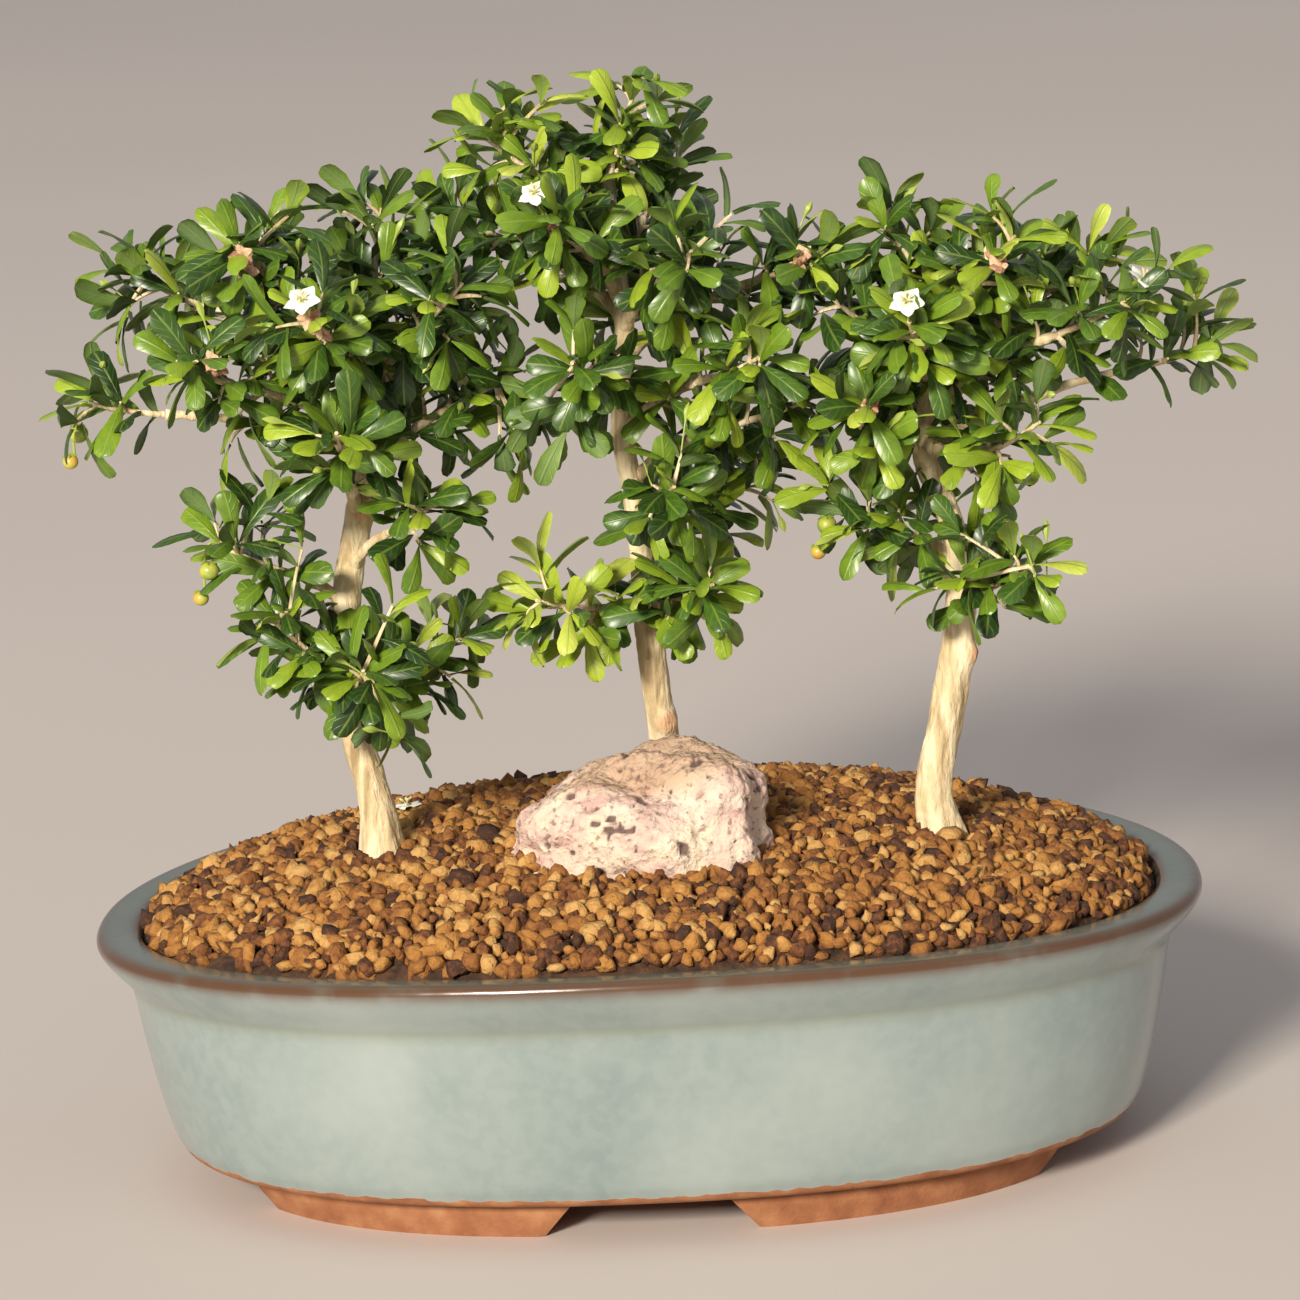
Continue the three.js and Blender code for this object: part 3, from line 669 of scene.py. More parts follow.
def build_pot(glaze):
    """The bowl, with its drain holes cut out, and the four feet under it."""
    profile = rounded(POT_PROFILE, 2)
    rings = oval_skin(profile, POT_SIDES)
    edge, pool, inside, bare = pot_values(profile, rings)
    bowl = Surface("edge", "pool", "inside", "bare")
    add_closed_skin(bowl, rings, edge=edge, pool=pool, inside=inside, bare=bare)
    without_drain_holes(bowl.piece("glazed_pot", [glaze], ["pot"], sharp=35))
    feet = Surface("edge", "pool", "inside", "bare")
    for turn_x in (-1, 1):
        for turn_y in (-1, 1):
            skin = foot_skin(turn_x, turn_y)
            if turn_x * turn_y < 0:
                skin = skin[:, ::-1]
            feet.add(skin, tube_faces(1, *skin.shape[:2]), bare=1.0)
    feet.piece("pot_feet", [glaze], ["pot"], sharp=35)


# Soil


def mound(x, y):
    """Height of the soil: the rim less a drop at the wall, and a power of the distance from the wall."""
    along = np.abs(x / INNER_RIM) ** RIM_POWER
    across = np.abs(y / (RIM_HALF_WIDTH - RIM_TOP_WIDTH)) ** RIM_POWER
    inside = np.maximum(0, 1 - along - across)
    edge_height = RIM_END_HEIGHT - SOIL_EDGE_DROP + side_rise(x, RIM_END_HEIGHT)
    return edge_height + MOUND_HEIGHT * inside**MOUND_POWER


def build_soil(earth):
    """The bed under the grit: the mound's surface closed by a skin just inside the pot's wall."""
    wall = rounded(
        [(0, 17.3), (60, 17.3), (117.7, 17.3), (129.1, 25.3), (133.6, 44), (138.9, 64), (139.6, 66)], 2
    )
    skin = oval_skin(wall, 160)
    share = np.linspace(1, 0, 40)[:, None, None] ** 1.4
    top = skin[-1] * share
    top[..., 2] = mound(top[..., 0], top[..., 1]) - 1.6
    bed = Surface()
    add_closed_skin(bed, np.concatenate([skin, top]))
    return bed.piece("soil_bed", [earth], ["soil"])


def stone_shape():
    """A ball of 18 points and 32 triangles: an octahedron with its edges halved."""
    corners = [(1, 0, 0), (-1, 0, 0), (0, 1, 0), (0, -1, 0), (0, 0, 1), (0, 0, -1)]
    halves = [(a, b) for a in range(6) for b in range(a + 1, 6) if a // 2 != b // 2]
    points = np.array(corners + [np.add(corners[a], corners[b]) for a, b in halves], float)
    index = {pair: 6 + i for i, pair in enumerate(halves)}
    triangles = []
    for x in (0, 1):
        for y in (2, 3):
            for z in (4, 5):
                a, b, c = (x, y, z) if (x + y + z) % 2 == 0 else (y, x, z)
                ab, bc, ca = (index[tuple(sorted(pair))] for pair in ((a, b), (b, c), (c, a)))
                triangles += [(a, ab, ca), (ab, b, bc), (ca, bc, c), (ab, bc, ca)]
    return unit(points), np.array(triangles)


def build_grit(clay, seed, lift, name, painted_shade_tint_scale):
    """Loose grains on a jittered hexagonal lattice over the mound.

    Each grain is a ball stretched along three axes, turned at random, with every point pushed in or out.
    The grains' random tints are scaled by the last argument, which darkens a lower layer as painted shade
    in the gaps between the upper grains.
    """
    random = np.random.default_rng(seed)
    row, column = np.meshgrid(np.arange(-30, 31), np.arange(-44, 45), indexing="ij")
    x = (column + 0.5 * (row % 2) + 0.25 * seed) * GRAIN_PITCH
    y = (row + 0.5 * seed) * GRAIN_PITCH * np.sqrt(3) / 2
    x = x.ravel() + random.uniform(-0.9, 0.9, x.size)
    y = y.ravel() + random.uniform(-0.9, 0.9, y.size)
    wall_gap = 2.4
    along = np.abs(x / (INNER_RIM - wall_gap)) ** RIM_POWER
    clear = along + np.abs(y / (RIM_HALF_WIDTH - RIM_TOP_WIDTH - wall_gap)) ** RIM_POWER < 1
    for tree in TREES.values():
        root = tree["trunk"][1]
        clear &= np.hypot(x - root[0], y - root[1]) > root[3] + 0.6
    from_rock = (np.stack([x, y], axis=-1) - ROCK_CENTRE[:2]) / (ROCK_HALF[:2] - 1)
    clear &= np.linalg.norm(from_rock, axis=-1) > 1
    x, y = x[clear], y[clear]
    count = len(x)
    ball, triangles = stone_shape()
    size = GRAIN_SIZE * random.uniform(0.66, 1.2, (count, 1, 1))
    stretch = random.uniform(0.5, 1.3, (count, 1, 3))
    dents = 1 + 0.36 * random.uniform(-1, 1, (count, len(ball), 1))
    spin = unit(random.normal(size=(count, 2, 3)))
    first = spin[:, 0]
    second = unit(np.cross(first, spin[:, 1]))
    axes = np.stack([first, second, np.cross(first, second)], axis=1)
    grains = (ball * stretch * size * dents) @ axes
    height = mound(x, y) + lift + random.uniform(-0.7, 0.7, count)
    grains += np.stack([x, y, height], axis=-1)[:, None, :]
    faces = triangles + (np.arange(count) * len(ball))[:, None, None]
    grit = Surface("tint")
    # Painted shade: a scale below 1 darkens the tints of a lower layer, which shows only in the gaps.
    tint = np.repeat(random.uniform(0, 1, count) * painted_shade_tint_scale, len(ball))
    grit.add(grains, [faces.reshape(-1, 3)], tint=tint)
    return grit.piece(name, [clay], sharp=0)


# Rock


def build_rock(stone):
    """The rock: a ball of lumps, low and narrow at its left end, with ridges and pits over it."""
    rows, sides = 130, 230
    polar = np.linspace(0, np.pi, rows)[:, None]
    turn = np.arange(sides) * 2 * np.pi / sides
    places = (np.sin(polar) * np.cos(turn), np.sin(polar) * np.sin(turn), -np.cos(polar))
    ball = np.stack(np.broadcast_arrays(*places), axis=-1)
    boxy = ball * np.sum(np.abs(ball) ** ROCK_POWER, axis=-1, keepdims=True) ** (-1 / ROCK_POWER)
    x, y, z = np.moveaxis(boxy, -1, 0)
    lumps = (
        np.sin(5.1 * x + 1.3) * np.cos(4.3 * y - 0.6)
        + 0.8 * np.sin(6.7 * z + 3.1 * x)
        + 0.6 * np.cos(8.9 * y + 5.3 * x + 2.0)
    )
    size = 1 + ROCK_ROUGHNESS * lumps / ROCK_HALF[1]
    flatter = np.where(z > 0, np.abs(z) ** 0.8, z * ROCK_BURIED)
    high = ROCK_HALF[2] * flatter * size * (1 + 0.06 * x - 0.45 * eased(-x, 0.4, 1.0))
    skin = np.stack(
        [
            ROCK_HALF[0] * x * size + ROCK_LEAN * high,
            ROCK_HALF[1] * y * size * (1 + ROCK_TAPER * x),
            high,
        ],
        axis=-1,
    )
    pits = -PIT_DEPTH * eased(rough(skin, 3.4, 2, 4.0), 0.45, 0.85)
    ridges = 0.95 * (1 - np.abs(rough(skin, 9.0, 4, 2.0)) * 2.2)
    grain = 0.45 * rough(skin, 1.6, 2, 9.0)
    skin = skin + ball * (pits + ridges + grain)[..., None] + ROCK_CENTRE
    crown = np.broadcast_to(eased(z, 0.62, 1.0), pits.shape)
    # The pit value is each point's depth in its pit, which the stone finish darkens as painted shade.
    pit, crown = skin_values(-pits / PIT_DEPTH, crown)
    rock = Surface("pit", "crown")
    add_closed_skin(rock, skin, pit=pit, crown=crown)
    return rock.piece("pitted_rock", [stone], ["rock"])


# Wood


def trunk_at(tree, height):
    """Middle of a trunk at a height, straight between its listed points."""
    listed = np.asarray(tree["trunk"], float)
    return np.array([np.interp(height, listed[:, 2], listed[:, axis]) for axis in range(3)])


def spray_path(tree, order):
    """Where one spray's branch starts, bends and ends, and the same for the leafy twig beyond it."""
    *middle, start_height = tree["sprays"][order]
    middle = np.array(middle, float)
    root = trunk_at(tree, start_height)
    away = middle - root
    reach = np.linalg.norm(away)
    heading = unit(away * (1, 1, 0.7))
    branch_end = middle - SPRAY_REACH * heading
    bend = (root + branch_end) / 2 - 0.12 * reach * heading + (0, 0, 0.1 * reach)
    ahead = unit(branch_end - bend)
    twig_start = branch_end + JOINT_GAP * ahead
    twig_end = twig_start + TWIG_LENGTH * ahead + (0, 0, TWIG_LIFT)
    return (root, bend, branch_end), (twig_start, twig_start + TWIG_LENGTH / 2 * ahead, twig_end)


def bark_relief(points, turns):
    """Low upright ridges, fine cracks between them and wrinkles across."""
    ridges = rough(points * (1, 1, 0.22), 2.6, 3, 5.0)
    wrinkles = noise(points * (0.3, 0.3, 1.6), 8.0)
    return 0.38 * ridges + 0.12 * wrinkles


def build_wood(name, number, bark):
    """One tree's trunk with its flared foot and scars, and its branches, which run into it."""
    tree = TREES[name]
    listed = np.asarray(tree["trunk"], float)
    steps, sides = 230, 48
    path = smooth_path(listed[:, :3], steps)[None]
    radius = np.interp(np.linspace(0, len(listed) - 1, steps), np.arange(len(listed)), listed[:, 3])[None]
    ground = mound(*listed[1, :2])
    scars = np.array(tree["scars"], float)

    def trunk_relief(points, turns):
        height = points[..., 2] - ground
        roots = (1 + np.cos(5 * turns + 1.7 * number)) * np.exp(-np.maximum(height, 0) / 5.5)
        relief = bark_relief(points, turns) + 0.7 * roots * eased(points[..., 2], ground - 12, ground - 2)
        for scar in scars:
            distance = np.linalg.norm(points - scar[:3], axis=-1) / scar[3]
            relief += 2.6 * np.exp(-(distance**2) * 1.3) - 1.1 * np.exp(-(distance**2) * 9)
        return relief

    wood = Surface("scar")
    skin = swept(path, radius, sides, trunk_relief)
    nearness = np.zeros(skin.shape[:-1])
    for scar in scars:
        distance = np.linalg.norm(skin - scar[:3], axis=-1) / scar[3]
        nearness = np.maximum(nearness, np.exp(-(distance**2) * 1.5))
    wood.add(skin, tube_faces(1, steps, sides), scar=nearness.ravel())
    paths = [spray_path(tree, order)[0] for order in range(len(tree["sprays"]))]
    roots, bends, ends = (np.array([path[i] for path in paths]) for i in range(3))
    branches = bezier(roots, bends, ends, 30)
    thickness = np.broadcast_to(np.linspace(BRANCH_ROOT_RADIUS, BRANCH_TIP_RADIUS, 30), branches.shape[:2])
    add_tubes(wood, branches, thickness, 12, bark_relief)
    return wood.piece(f"{name}_tree_bark", [bark], [f"{name}_tree_wood"])


# Leaves


def twig_outward(forward, turn):
    """Direction out of a twig at a turn round it."""
    side = unit(np.cross(np.broadcast_to(np.array([0.05, 0.12, 1.0]), forward.shape), forward))
    rise = np.cross(forward, side)
    return side * np.cos(turn) + rise * np.sin(turn)


def leaf_frames(forward, outward, lean, roll):
    """Directions along the midrib, across the blade and out of its upper face, which looks up and ahead."""
    along = forward * np.cos(lean) + outward * np.sin(lean)
    facing = np.array([0, 0, 0.8]) + forward
    facing = unit(facing - along * along_part(facing, along))
    level = np.cross(facing, along)
    upper = facing * np.cos(roll) + level * np.sin(roll)
    return along, np.cross(upper, along), upper


def blade_shares():
    """Places of a blade's rings as shares of its length, closer together towards the tip."""
    return 1 - np.linspace(1, 0, BLADE_ROWS) ** 1.5


def blade_skins(roots, frames, lengths, widths, outline, arch, fold, waves):
    """Closed thin blades, as rings across the midrib from the root to the tip.

    Each ring is as wide as its share in the outline, rises by its share of the length in the arch,
    folds up along the midrib and rolls down at its edges. Waves is each blade's phase of waving.
    """
    along, across, upper = (frame[:, None, None, :] for frame in frames)
    share = blade_shares()[None, :, None]
    side = np.linspace(-1, 1, BLADE_COLUMNS)
    ring = np.concatenate([side, side[-2:0:-1]])[None, None, :]
    face = np.concatenate([np.ones(BLADE_COLUMNS), -np.ones(BLADE_COLUMNS - 2)])[None, None, :]
    lengths, waves = (np.asarray(value)[:, None, None] for value in (lengths, waves))
    half = np.broadcast_to(np.asarray(widths) / 2, len(roots))[:, None, None]
    width = half * outline(share) * (1 + 0.07 * np.sin(15 * share + waves))
    bent = lengths * arch(share) + fold * width * (np.abs(ring) - 1.7 * ring**4)
    waved = 0.16 * half * ring * np.sin(waves + 4 * share)
    thick = LEAF_THICKNESS / 2 * face * (1 - ring**2) + 0.02 * face
    skin = roots[:, None, None, :] + along * (lengths * share)[..., None]
    skin = skin + across * (width * ring)[..., None]
    return skin + upper * (bent + waved + thick)[..., None]


def add_blades(surface, skins, tints, material=0):
    """Adds closed blades to a surface, with each one's tint and the places along, across and under it."""
    shape = skins.shape[:3]
    side = np.linspace(-1, 1, BLADE_COLUMNS)
    ring = np.concatenate([side, side[-2:0:-1]])
    under = np.concatenate([np.zeros(BLADE_COLUMNS), np.ones(BLADE_COLUMNS - 2)])
    values = {
        "tint": np.asarray(tints)[:, None, None],
        "along": blade_shares()[None, :, None],
        "across": ring,
        "under": under,
    }
    spread = {name: np.broadcast_to(value, shape).ravel() for name, value in values.items()}
    surface.add(skins[:, :, ::-1], tube_faces(*shape), material, **flipped(spread, shape))


def flipped(values, shape):
    """The same values for rings whose points run the other way round."""
    return {name: value.reshape(shape)[:, :, ::-1].ravel() for name, value in values.items()}


def leaf_outline(share):
    """A wedge at the stalk and round at the tip: a power of the share times a falling root."""
    return 0.1 + 1.08 * share**0.95 * np.sqrt(np.maximum(1 - share**5, 0.004))


def leaf_arch(share):
    """Rises from the twig, then bows down to the tip."""
    return 0.14 * share - 0.3 * share**2


def petal_outline(share):
    """Narrow at its root and round at its end."""
    return 0.35 + 1.0 * np.sin(np.pi * share**0.75) ** 0.8 - 0.2 * share


def petal_arch(share):
    """Cupped up, then spread at the end."""
    return 0.3 * share - 0.22 * share**2


def add_leaves(surface, roots, frames, lengths, phases, tints):
    """Adds leaves that stay in the frame's box, clear of the soil and out of sight of bare trunk."""
    start = roots + 0.6 * frames[0]
    widths = LEAF_WIDTH * (lengths / LEAF_LENGTH) ** 0.6
    skins = blade_skins(start, frames, lengths, widths, leaf_outline, leaf_arch, 0.2, phases)
    inside = np.all((skins > BOX_LOW) & (skins < BOX_HIGH), axis=(1, 2, 3))
    lowest = skins[..., 2].min(axis=(1, 2))
    inside &= lowest > mound(skins[:, -1, 0, 0], skins[:, -1, 0, 1]) + 3
    inside &= ~before_a_trunk(skins.mean(axis=(1, 2)))
    add_blades(surface, skins[inside], np.asarray(tints)[inside])


def before_a_trunk(places):
    """Whether each place lies in front of a trunk where it should be seen, by the camera's slope."""
    away = places[:, None, :] - GLIMPSES[:, :3]
    across = away[..., 0] / GLIMPSES[:, 3]
    up = (away[..., 2] + VIEW_SLOPE * away[..., 1]) / GLIMPSES[:, 4]
    return np.any((across**2 + up**2 < 1) & (away[..., 1] < 3), axis=1)


def in_open_air(places):
    """Whether each place is seen, by the camera's slope, in a gap between two tiers of leaves."""
    across = (places[:, None, 0] - OPEN_AIR[:, 0]) / OPEN_AIR[:, 2]
    height = places[:, None, 2] + VIEW_SLOPE * places[:, None, 1]
    up = (height - OPEN_AIR[:, 1]) / OPEN_AIR[:, 3]
    return np.any(across**2 + up**2 < 1, axis=1)


def twig_leaves(twig, order):
    """The leaves of the leading twig, in pairs on its opposite faces: their roots, frames and draws."""
    level = np.repeat(np.arange(TWIG_LEVELS), 2)
    face = level % 2 + np.tile([0, 2], TWIG_LEVELS)
    share = (level + 0.5) / TWIG_LEVELS
    seed = 60 * order + 4 * level + face
    lengths = LEAF_LENGTH * (0.86 + 0.32 * draw(seed, 1))
    roll = (0.7 * (draw(seed, 2) - 0.5))[:, None]
    phases = 6.28 * draw(seed, 3)
    turn = (TWIG_TWIST * (level + 0.5) + (face + 0.5) * np.pi / 2)[:, None]
    lean = (mix(1.3, 0.55, share) + 0.3 * (draw(seed, 4) - 0.5))[:, None]
    start, bend, end = twig
    share = share[:, None]
    roots = start * (1 - share) ** 2 + 2 * bend * share * (1 - share) + end * share**2
    forward = unit((bend - start) * (1 - share) + (end - bend) * share)
    frames = leaf_frames(forward, twig_outward(forward, turn), lean, roll)
    return roots, frames, lengths, phases, level / (TWIG_LEVELS - 1)


def shoot_leaves(starts, ends, random):
    """Rosettes at the ends of short shoots, each leaf turned on by the golden angle and leaning less."""
    count = len(starts)
    number = np.tile(np.arange(LEAVES_PER_SHOOT), count)
    share = number / (LEAVES_PER_SHOOT - 1)
    total = len(number)
    forward = np.repeat(unit(ends - starts), LEAVES_PER_SHOOT, axis=0)
    first_turn = np.repeat(random.uniform(0, 6.28, count), LEAVES_PER_SHOOT)
    turn = number * GOLDEN_ANGLE + first_turn + random.uniform(-0.3, 0.3, total)
    roots = np.repeat(starts, LEAVES_PER_SHOOT, axis=0)
    roots = mix(roots, np.repeat(ends, LEAVES_PER_SHOOT, axis=0), (0.55 + 0.45 * share)[:, None])
    lean = mix(1.3, 0.5, share) + random.uniform(-0.15, 0.15, total)
    roll = random.uniform(-0.4, 0.4, total)
    frames = leaf_frames(forward, twig_outward(forward, turn[:, None]), lean[:, None], roll[:, None])
    lengths = SHOOT_LEAF_LENGTH * random.uniform(0.8, 1.15, total) * mix(1.0, 0.8, share)
    return roots, frames, lengths, random.uniform(0, 6.28, total), share


def curve_places(curve, shares):
    """Places and directions at shares of the length of one curve given by three points."""
    line = bezier(*(point[None] for point in curve), 41)[0]
    place = np.maximum(np.rint(np.array(shares) * 40).astype(int), 1)
    return line[place], unit(line[place] - line[place - 1])


def build_spray(tree_name, index, order, leaf, twig_bark):
    """One spray: its leading twig and short side shoots, with leaves on all of them and three buds.

    Side shoots and their leaves keep out of the open air, except those at the twig's own end.
    """
    random = np.random.default_rng(1000 + order)
    branch, twig = spray_path(TREES[tree_name], index)
    node = f"{tree_name}_spray_{index + 1}"
    spray = Surface("tint", "along", "across", "under")
    thickness = np.linspace(TWIG_RADIUS, TWIG_TIP_RADIUS, 14)[None]
    add_tubes(spray, bezier(*(p[None] for p in twig), 14), thickness, 8, material=1)
    base_tint = OLD_LEAF_TINT + YOUNG_SPRAYS.get(node, 0) + random.uniform(-0.12, 0.14)
    roots, frames, lengths, phases, youth = twig_leaves(twig, order)
    tints = np.clip(base_tint + 0.34 * youth**2 + random.normal(0, 0.17, len(youth)), 0, 1)
    add_leaves(spray, roots, frames, lengths, phases, tints)

    starts, forward = curve_places(twig, TWIG_SHOOTS)
    if node not in OPEN_SPRAYS:
        lower, lower_ahead = curve_places(branch, BRANCH_SHOOTS)
        starts = np.concatenate([lower, starts])
        forward = np.concatenate([lower_ahead, forward])
    count = len(starts)
    turn = (np.arange(count) * GOLDEN_ANGLE + random.uniform(0, 6.28))[:, None]
    heading = unit(0.45 * forward + twig_outward(forward, turn) + np.array([0, 0, 0.2]))
    ends = starts + heading * random.uniform(SHORTEST_SHOOT, LONGEST_SHOOT, (count, 1))
    kept = ~in_open_air(ends)
    kept[-TIP_SHOOTS:] = True
    starts, ends, forward = starts[kept], ends[kept], forward[kept]
    for end in LONG_SHOOTS.get(node, ()):
        starts = np.concatenate([starts, starts[-2:-1]])
        ends = np.concatenate([ends, [end]])
        forward = np.concatenate([forward, forward[-2:-1]])
    count = len(starts)
    bends = (starts + ends) / 2 + forward * 1.5
    shoots = bezier(starts, bends, ends, 7)
    taper = np.linspace(SHOOT_RADIUS * 1.3, SHOOT_RADIUS * 0.7, 7)
    add_tubes(spray, shoots, np.broadcast_to(taper, shoots.shape[:2]), 5, material=1)
    roots, frames, lengths, phases, youth = shoot_leaves(starts, ends, random)
    tints = np.clip(base_tint + 0.36 * youth**2 + random.normal(0, 0.19, len(youth)), 0, 1)
    clear = ~in_open_air(roots + 0.6 * lengths[:, None] * frames[0])
    clear[-TIP_SHOOTS * LEAVES_PER_SHOOT :] = True
    frames = [axis[clear] for axis in frames]
    add_leaves(spray, roots[clear], frames, lengths[clear], phases[clear], tints[clear])

    budded = ends[random.permutation(count)[:BUDS_PER_SPRAY]]
    bud_heading = unit(random.normal(size=(BUDS_PER_SPRAY, 3)) + (0, 0, 0.6))
    bud_tips = budded + bud_heading * random.uniform(8, 16, (BUDS_PER_SPRAY, 1))
    bud_tips = np.clip(bud_tips, BOX_LOW + 2, BOX_HIGH - 2)
    stalks = bezier(budded, (budded + bud_tips) / 2 + (0, 0, 1.5), bud_tips, 12)
    swelling = np.array([0.24] * 6 + [0.26, 0.5, 0.95, 1.1, 0.75, 0.12])
    add_tubes(spray, stalks, np.broadcast_to(swelling, stalks.shape[:2]), 6, tint=0.95, under=0.4)
    return spray.piece(f"{node}_leaves", [leaf, twig_bark], [node], sharp=50)


# Blossoms and berries


def stalk_points(twig, reach, fall):
    """Start, bend and end of a stalk that carries on from the twig's end and falls or rises at its own."""
    start, bend, end = twig
    ahead = unit(end - bend)
    root = end + JOINT_GAP * ahead
    turn = root + reach * ahead
    return root, turn, turn - (0, 0, fall)


def star_frames(facing, count, first_turn=0.0):
    """Frames of blades spread round a direction, each with its upper face to it."""
    side = unit(np.cross([0.3, 1, 0.2], facing))
    rise = np.cross(facing, side)
    turn = (np.arange(count) * 2 * np.pi / count + first_turn)[:, None]
    along = side * np.cos(turn) + rise * np.sin(turn)
    upper = np.broadcast_to(facing, along.shape)
    return along, np.cross(upper, along), upper


def add_flower(surface, centre, facing, random):
    """Five petals, five sepals behind them and five stamens with swollen tips in front."""
    frames = star_frames(facing, 5)
    roots = centre + 0.4 * frames[0]
    waves = random.uniform(0, 6.28, 5)
    lengths = PETAL_LENGTH * random.uniform(0.92, 1.04, 5)
    skins = blade_skins(roots, frames, lengths, PETAL_WIDTH, petal_outline, petal_arch, 0.1, waves)
    add_blades(surface, skins, np.full(5, 0.5))
    frames = star_frames(facing, 5, 0.63)
    behind = centre - 0.9 * facing + 0.2 * frames[0]
    sizes = np.full(5, 2.3)
    skins = blade_skins(behind, frames, sizes, SEPAL_WIDTH, leaf_outline, petal_arch, 0.2, waves)
    add_blades(surface, skins, np.full(5, 0.8), material=1)
    tips = centre + facing * 2.6 + frames[0] * 1.9
    stamens = bezier(centre + 0.3 * frames[0], centre + facing * 1.6, tips, 8)
    swelling = np.array([0.14, 0.13, 0.12, 0.12, 0.14, 0.34, 0.36, 0.1])
    add_tubes(surface, stamens, np.broadcast_to(swelling, stamens.shape[:2]), 6, material=2)


def add_ball(surface, centre, radius, material=0, **values):
    """A ball as rings from its lowest to its highest point, a little flatter than it is wide."""
    polar = np.linspace(0, np.pi, 18)[:, None]
    turn = np.arange(24) * 2 * np.pi / 24
    x = radius * np.sin(polar) * np.cos(turn)
    y = radius * np.sin(polar) * np.sin(turn)
    z = np.broadcast_to(-0.94 * radius * np.cos(polar), x.shape)
    add_closed_skin(surface, np.stack([x, y, z], axis=-1) + centre, material=material, **values)


def build_blossom(tree_name, number, index, finishes):
    """A white blossom on its stalk beyond a leading twig."""
    random = np.random.default_rng(3000 + index)
    root, bend, end = stalk_points(spray_path(TREES[tree_name], index)[1], BLOSSOM_REACH, -BLOSSOM_LIFT)
    facing = unit(unit(bend - root) + (0, 0, 0.5))
    flower = Surface("tint", "along", "across", "under")
    stalk = bezier(root[None], bend[None], end[None] - 0.8 * facing, 12)
    thickness = np.linspace(0.3, 0.55, 12)[None]
    add_tubes(flower, stalk, thickness, 8, material=1, tint=0.8)
    add_flower(flower, end, facing, random)
    node = f"{tree_name}_blossom_{number}"
    flower.piece(f"{node}_petals", finishes, [node], sharp=50)


def build_fallen_blossom(finishes):
    """The blossom that fell on the grit, lying on the slope of the mound."""
    x, y = FALLEN_PLACE
    step = 2.0
    slope_x = (mound(x + step, y) - mound(x - step, y)) / (2 * step)
    slope_y = (mound(x, y + step) - mound(x, y - step)) / (2 * step)
    flower = Surface("tint", "along", "across", "under")
    facing = unit(np.array([-slope_x, -slope_y, 1.0]))
    add_flower(flower, np.array([x, y, mound(x, y) + 2.4]), facing, np.random.default_rng(3100))
    flower.piece("fallen_blossom_petals", finishes, ["fallen_blossom"], sharp=50)


def build_berries(tree_name, number, index, finishes):
    """Two berries under a leading twig on one hanging stalk, each with a small star of sepals."""
    random = np.random.default_rng(3200 + index)
    root, bend, end = stalk_points(spray_path(TREES[tree_name], index)[1], BERRY_REACH, BERRY_DROP)
    bunch = Surface("tint", "along", "across", "under")
    stalk = bezier(root[None], bend[None], end[None], 20)
    add_tubes(bunch, stalk, np.full((1, 20), STALK_RADIUS), 8, material=1, tint=0.8)
    for i, share in enumerate((0.72, 1.0)):
        centre = curve_places((root, bend, end), [share])[0][0]
        radius = BERRY_RADIUS * (1 - 0.2 * i)
        centre = centre + (1.2 - 2.4 * i, 0, -0.5 * BERRY_RADIUS)
        add_ball(bunch, centre, radius, tint=0.35 + 0.4 * i)
        frames = star_frames(np.array([0.0, 0.0, 1.0]), 5)
        top = centre + (0, 0, 0.9 * radius) + 0.1 * frames[0]
        sizes = np.full(5, 2.0)
        waves = random.uniform(0, 6, 5)
        sepals = blade_skins(top, frames, sizes, SEPAL_WIDTH, leaf_outline, leaf_arch, 0.2, waves)
        add_blades(bunch, sepals, np.full(5, 0.7), material=1)
    node = f"{tree_name}_berries_{number}"
    bunch.piece(f"{node}_fruit", finishes, [node], sharp=50)


def build_dried_blossoms(dried):
    """Shrivelled brown blossoms on the front of a few sprays: narrow petals curled towards each other."""
    random = np.random.default_rng(3300)
    husks = Surface("tint", "along", "across", "under")
    for tree_name, index in DRIED_BLOSSOMS:
        centre = np.array(TREES[tree_name]["sprays"][index][:3], float) + (0, -11, 4)
        for _ in range(2):
            facing = unit(random.normal(size=3) + (0, -1.2, 0.6))
            frames = star_frames(facing, 5)
            base = centre + random.uniform(-3.0, 3.0, 3)
            lengths = random.uniform(2.2, 3.8, 5)
            waves = random.uniform(0, 6.28, 5)
            roots = base + 0.1 * frames[0]
            skins = blade_skins(roots, frames, lengths, 2.4, petal_outline, dried_arch, 0.5, waves)
            add_blades(husks, skins, random.uniform(0, 1, 5))
        stalk = bezier(centre[None], centre[None] + (0, 3, -1), centre[None] + (0, 9, -5), 8)
        add_tubes(husks, stalk, np.full((1, 8), 0.3), 6)
    husks.piece("dried_blossoms", [dried], sharp=50)


def dried_arch(share):
    """Curls up and over, as a dry petal does."""
    return 0.9 * share - 0.5 * share**2


# Materials


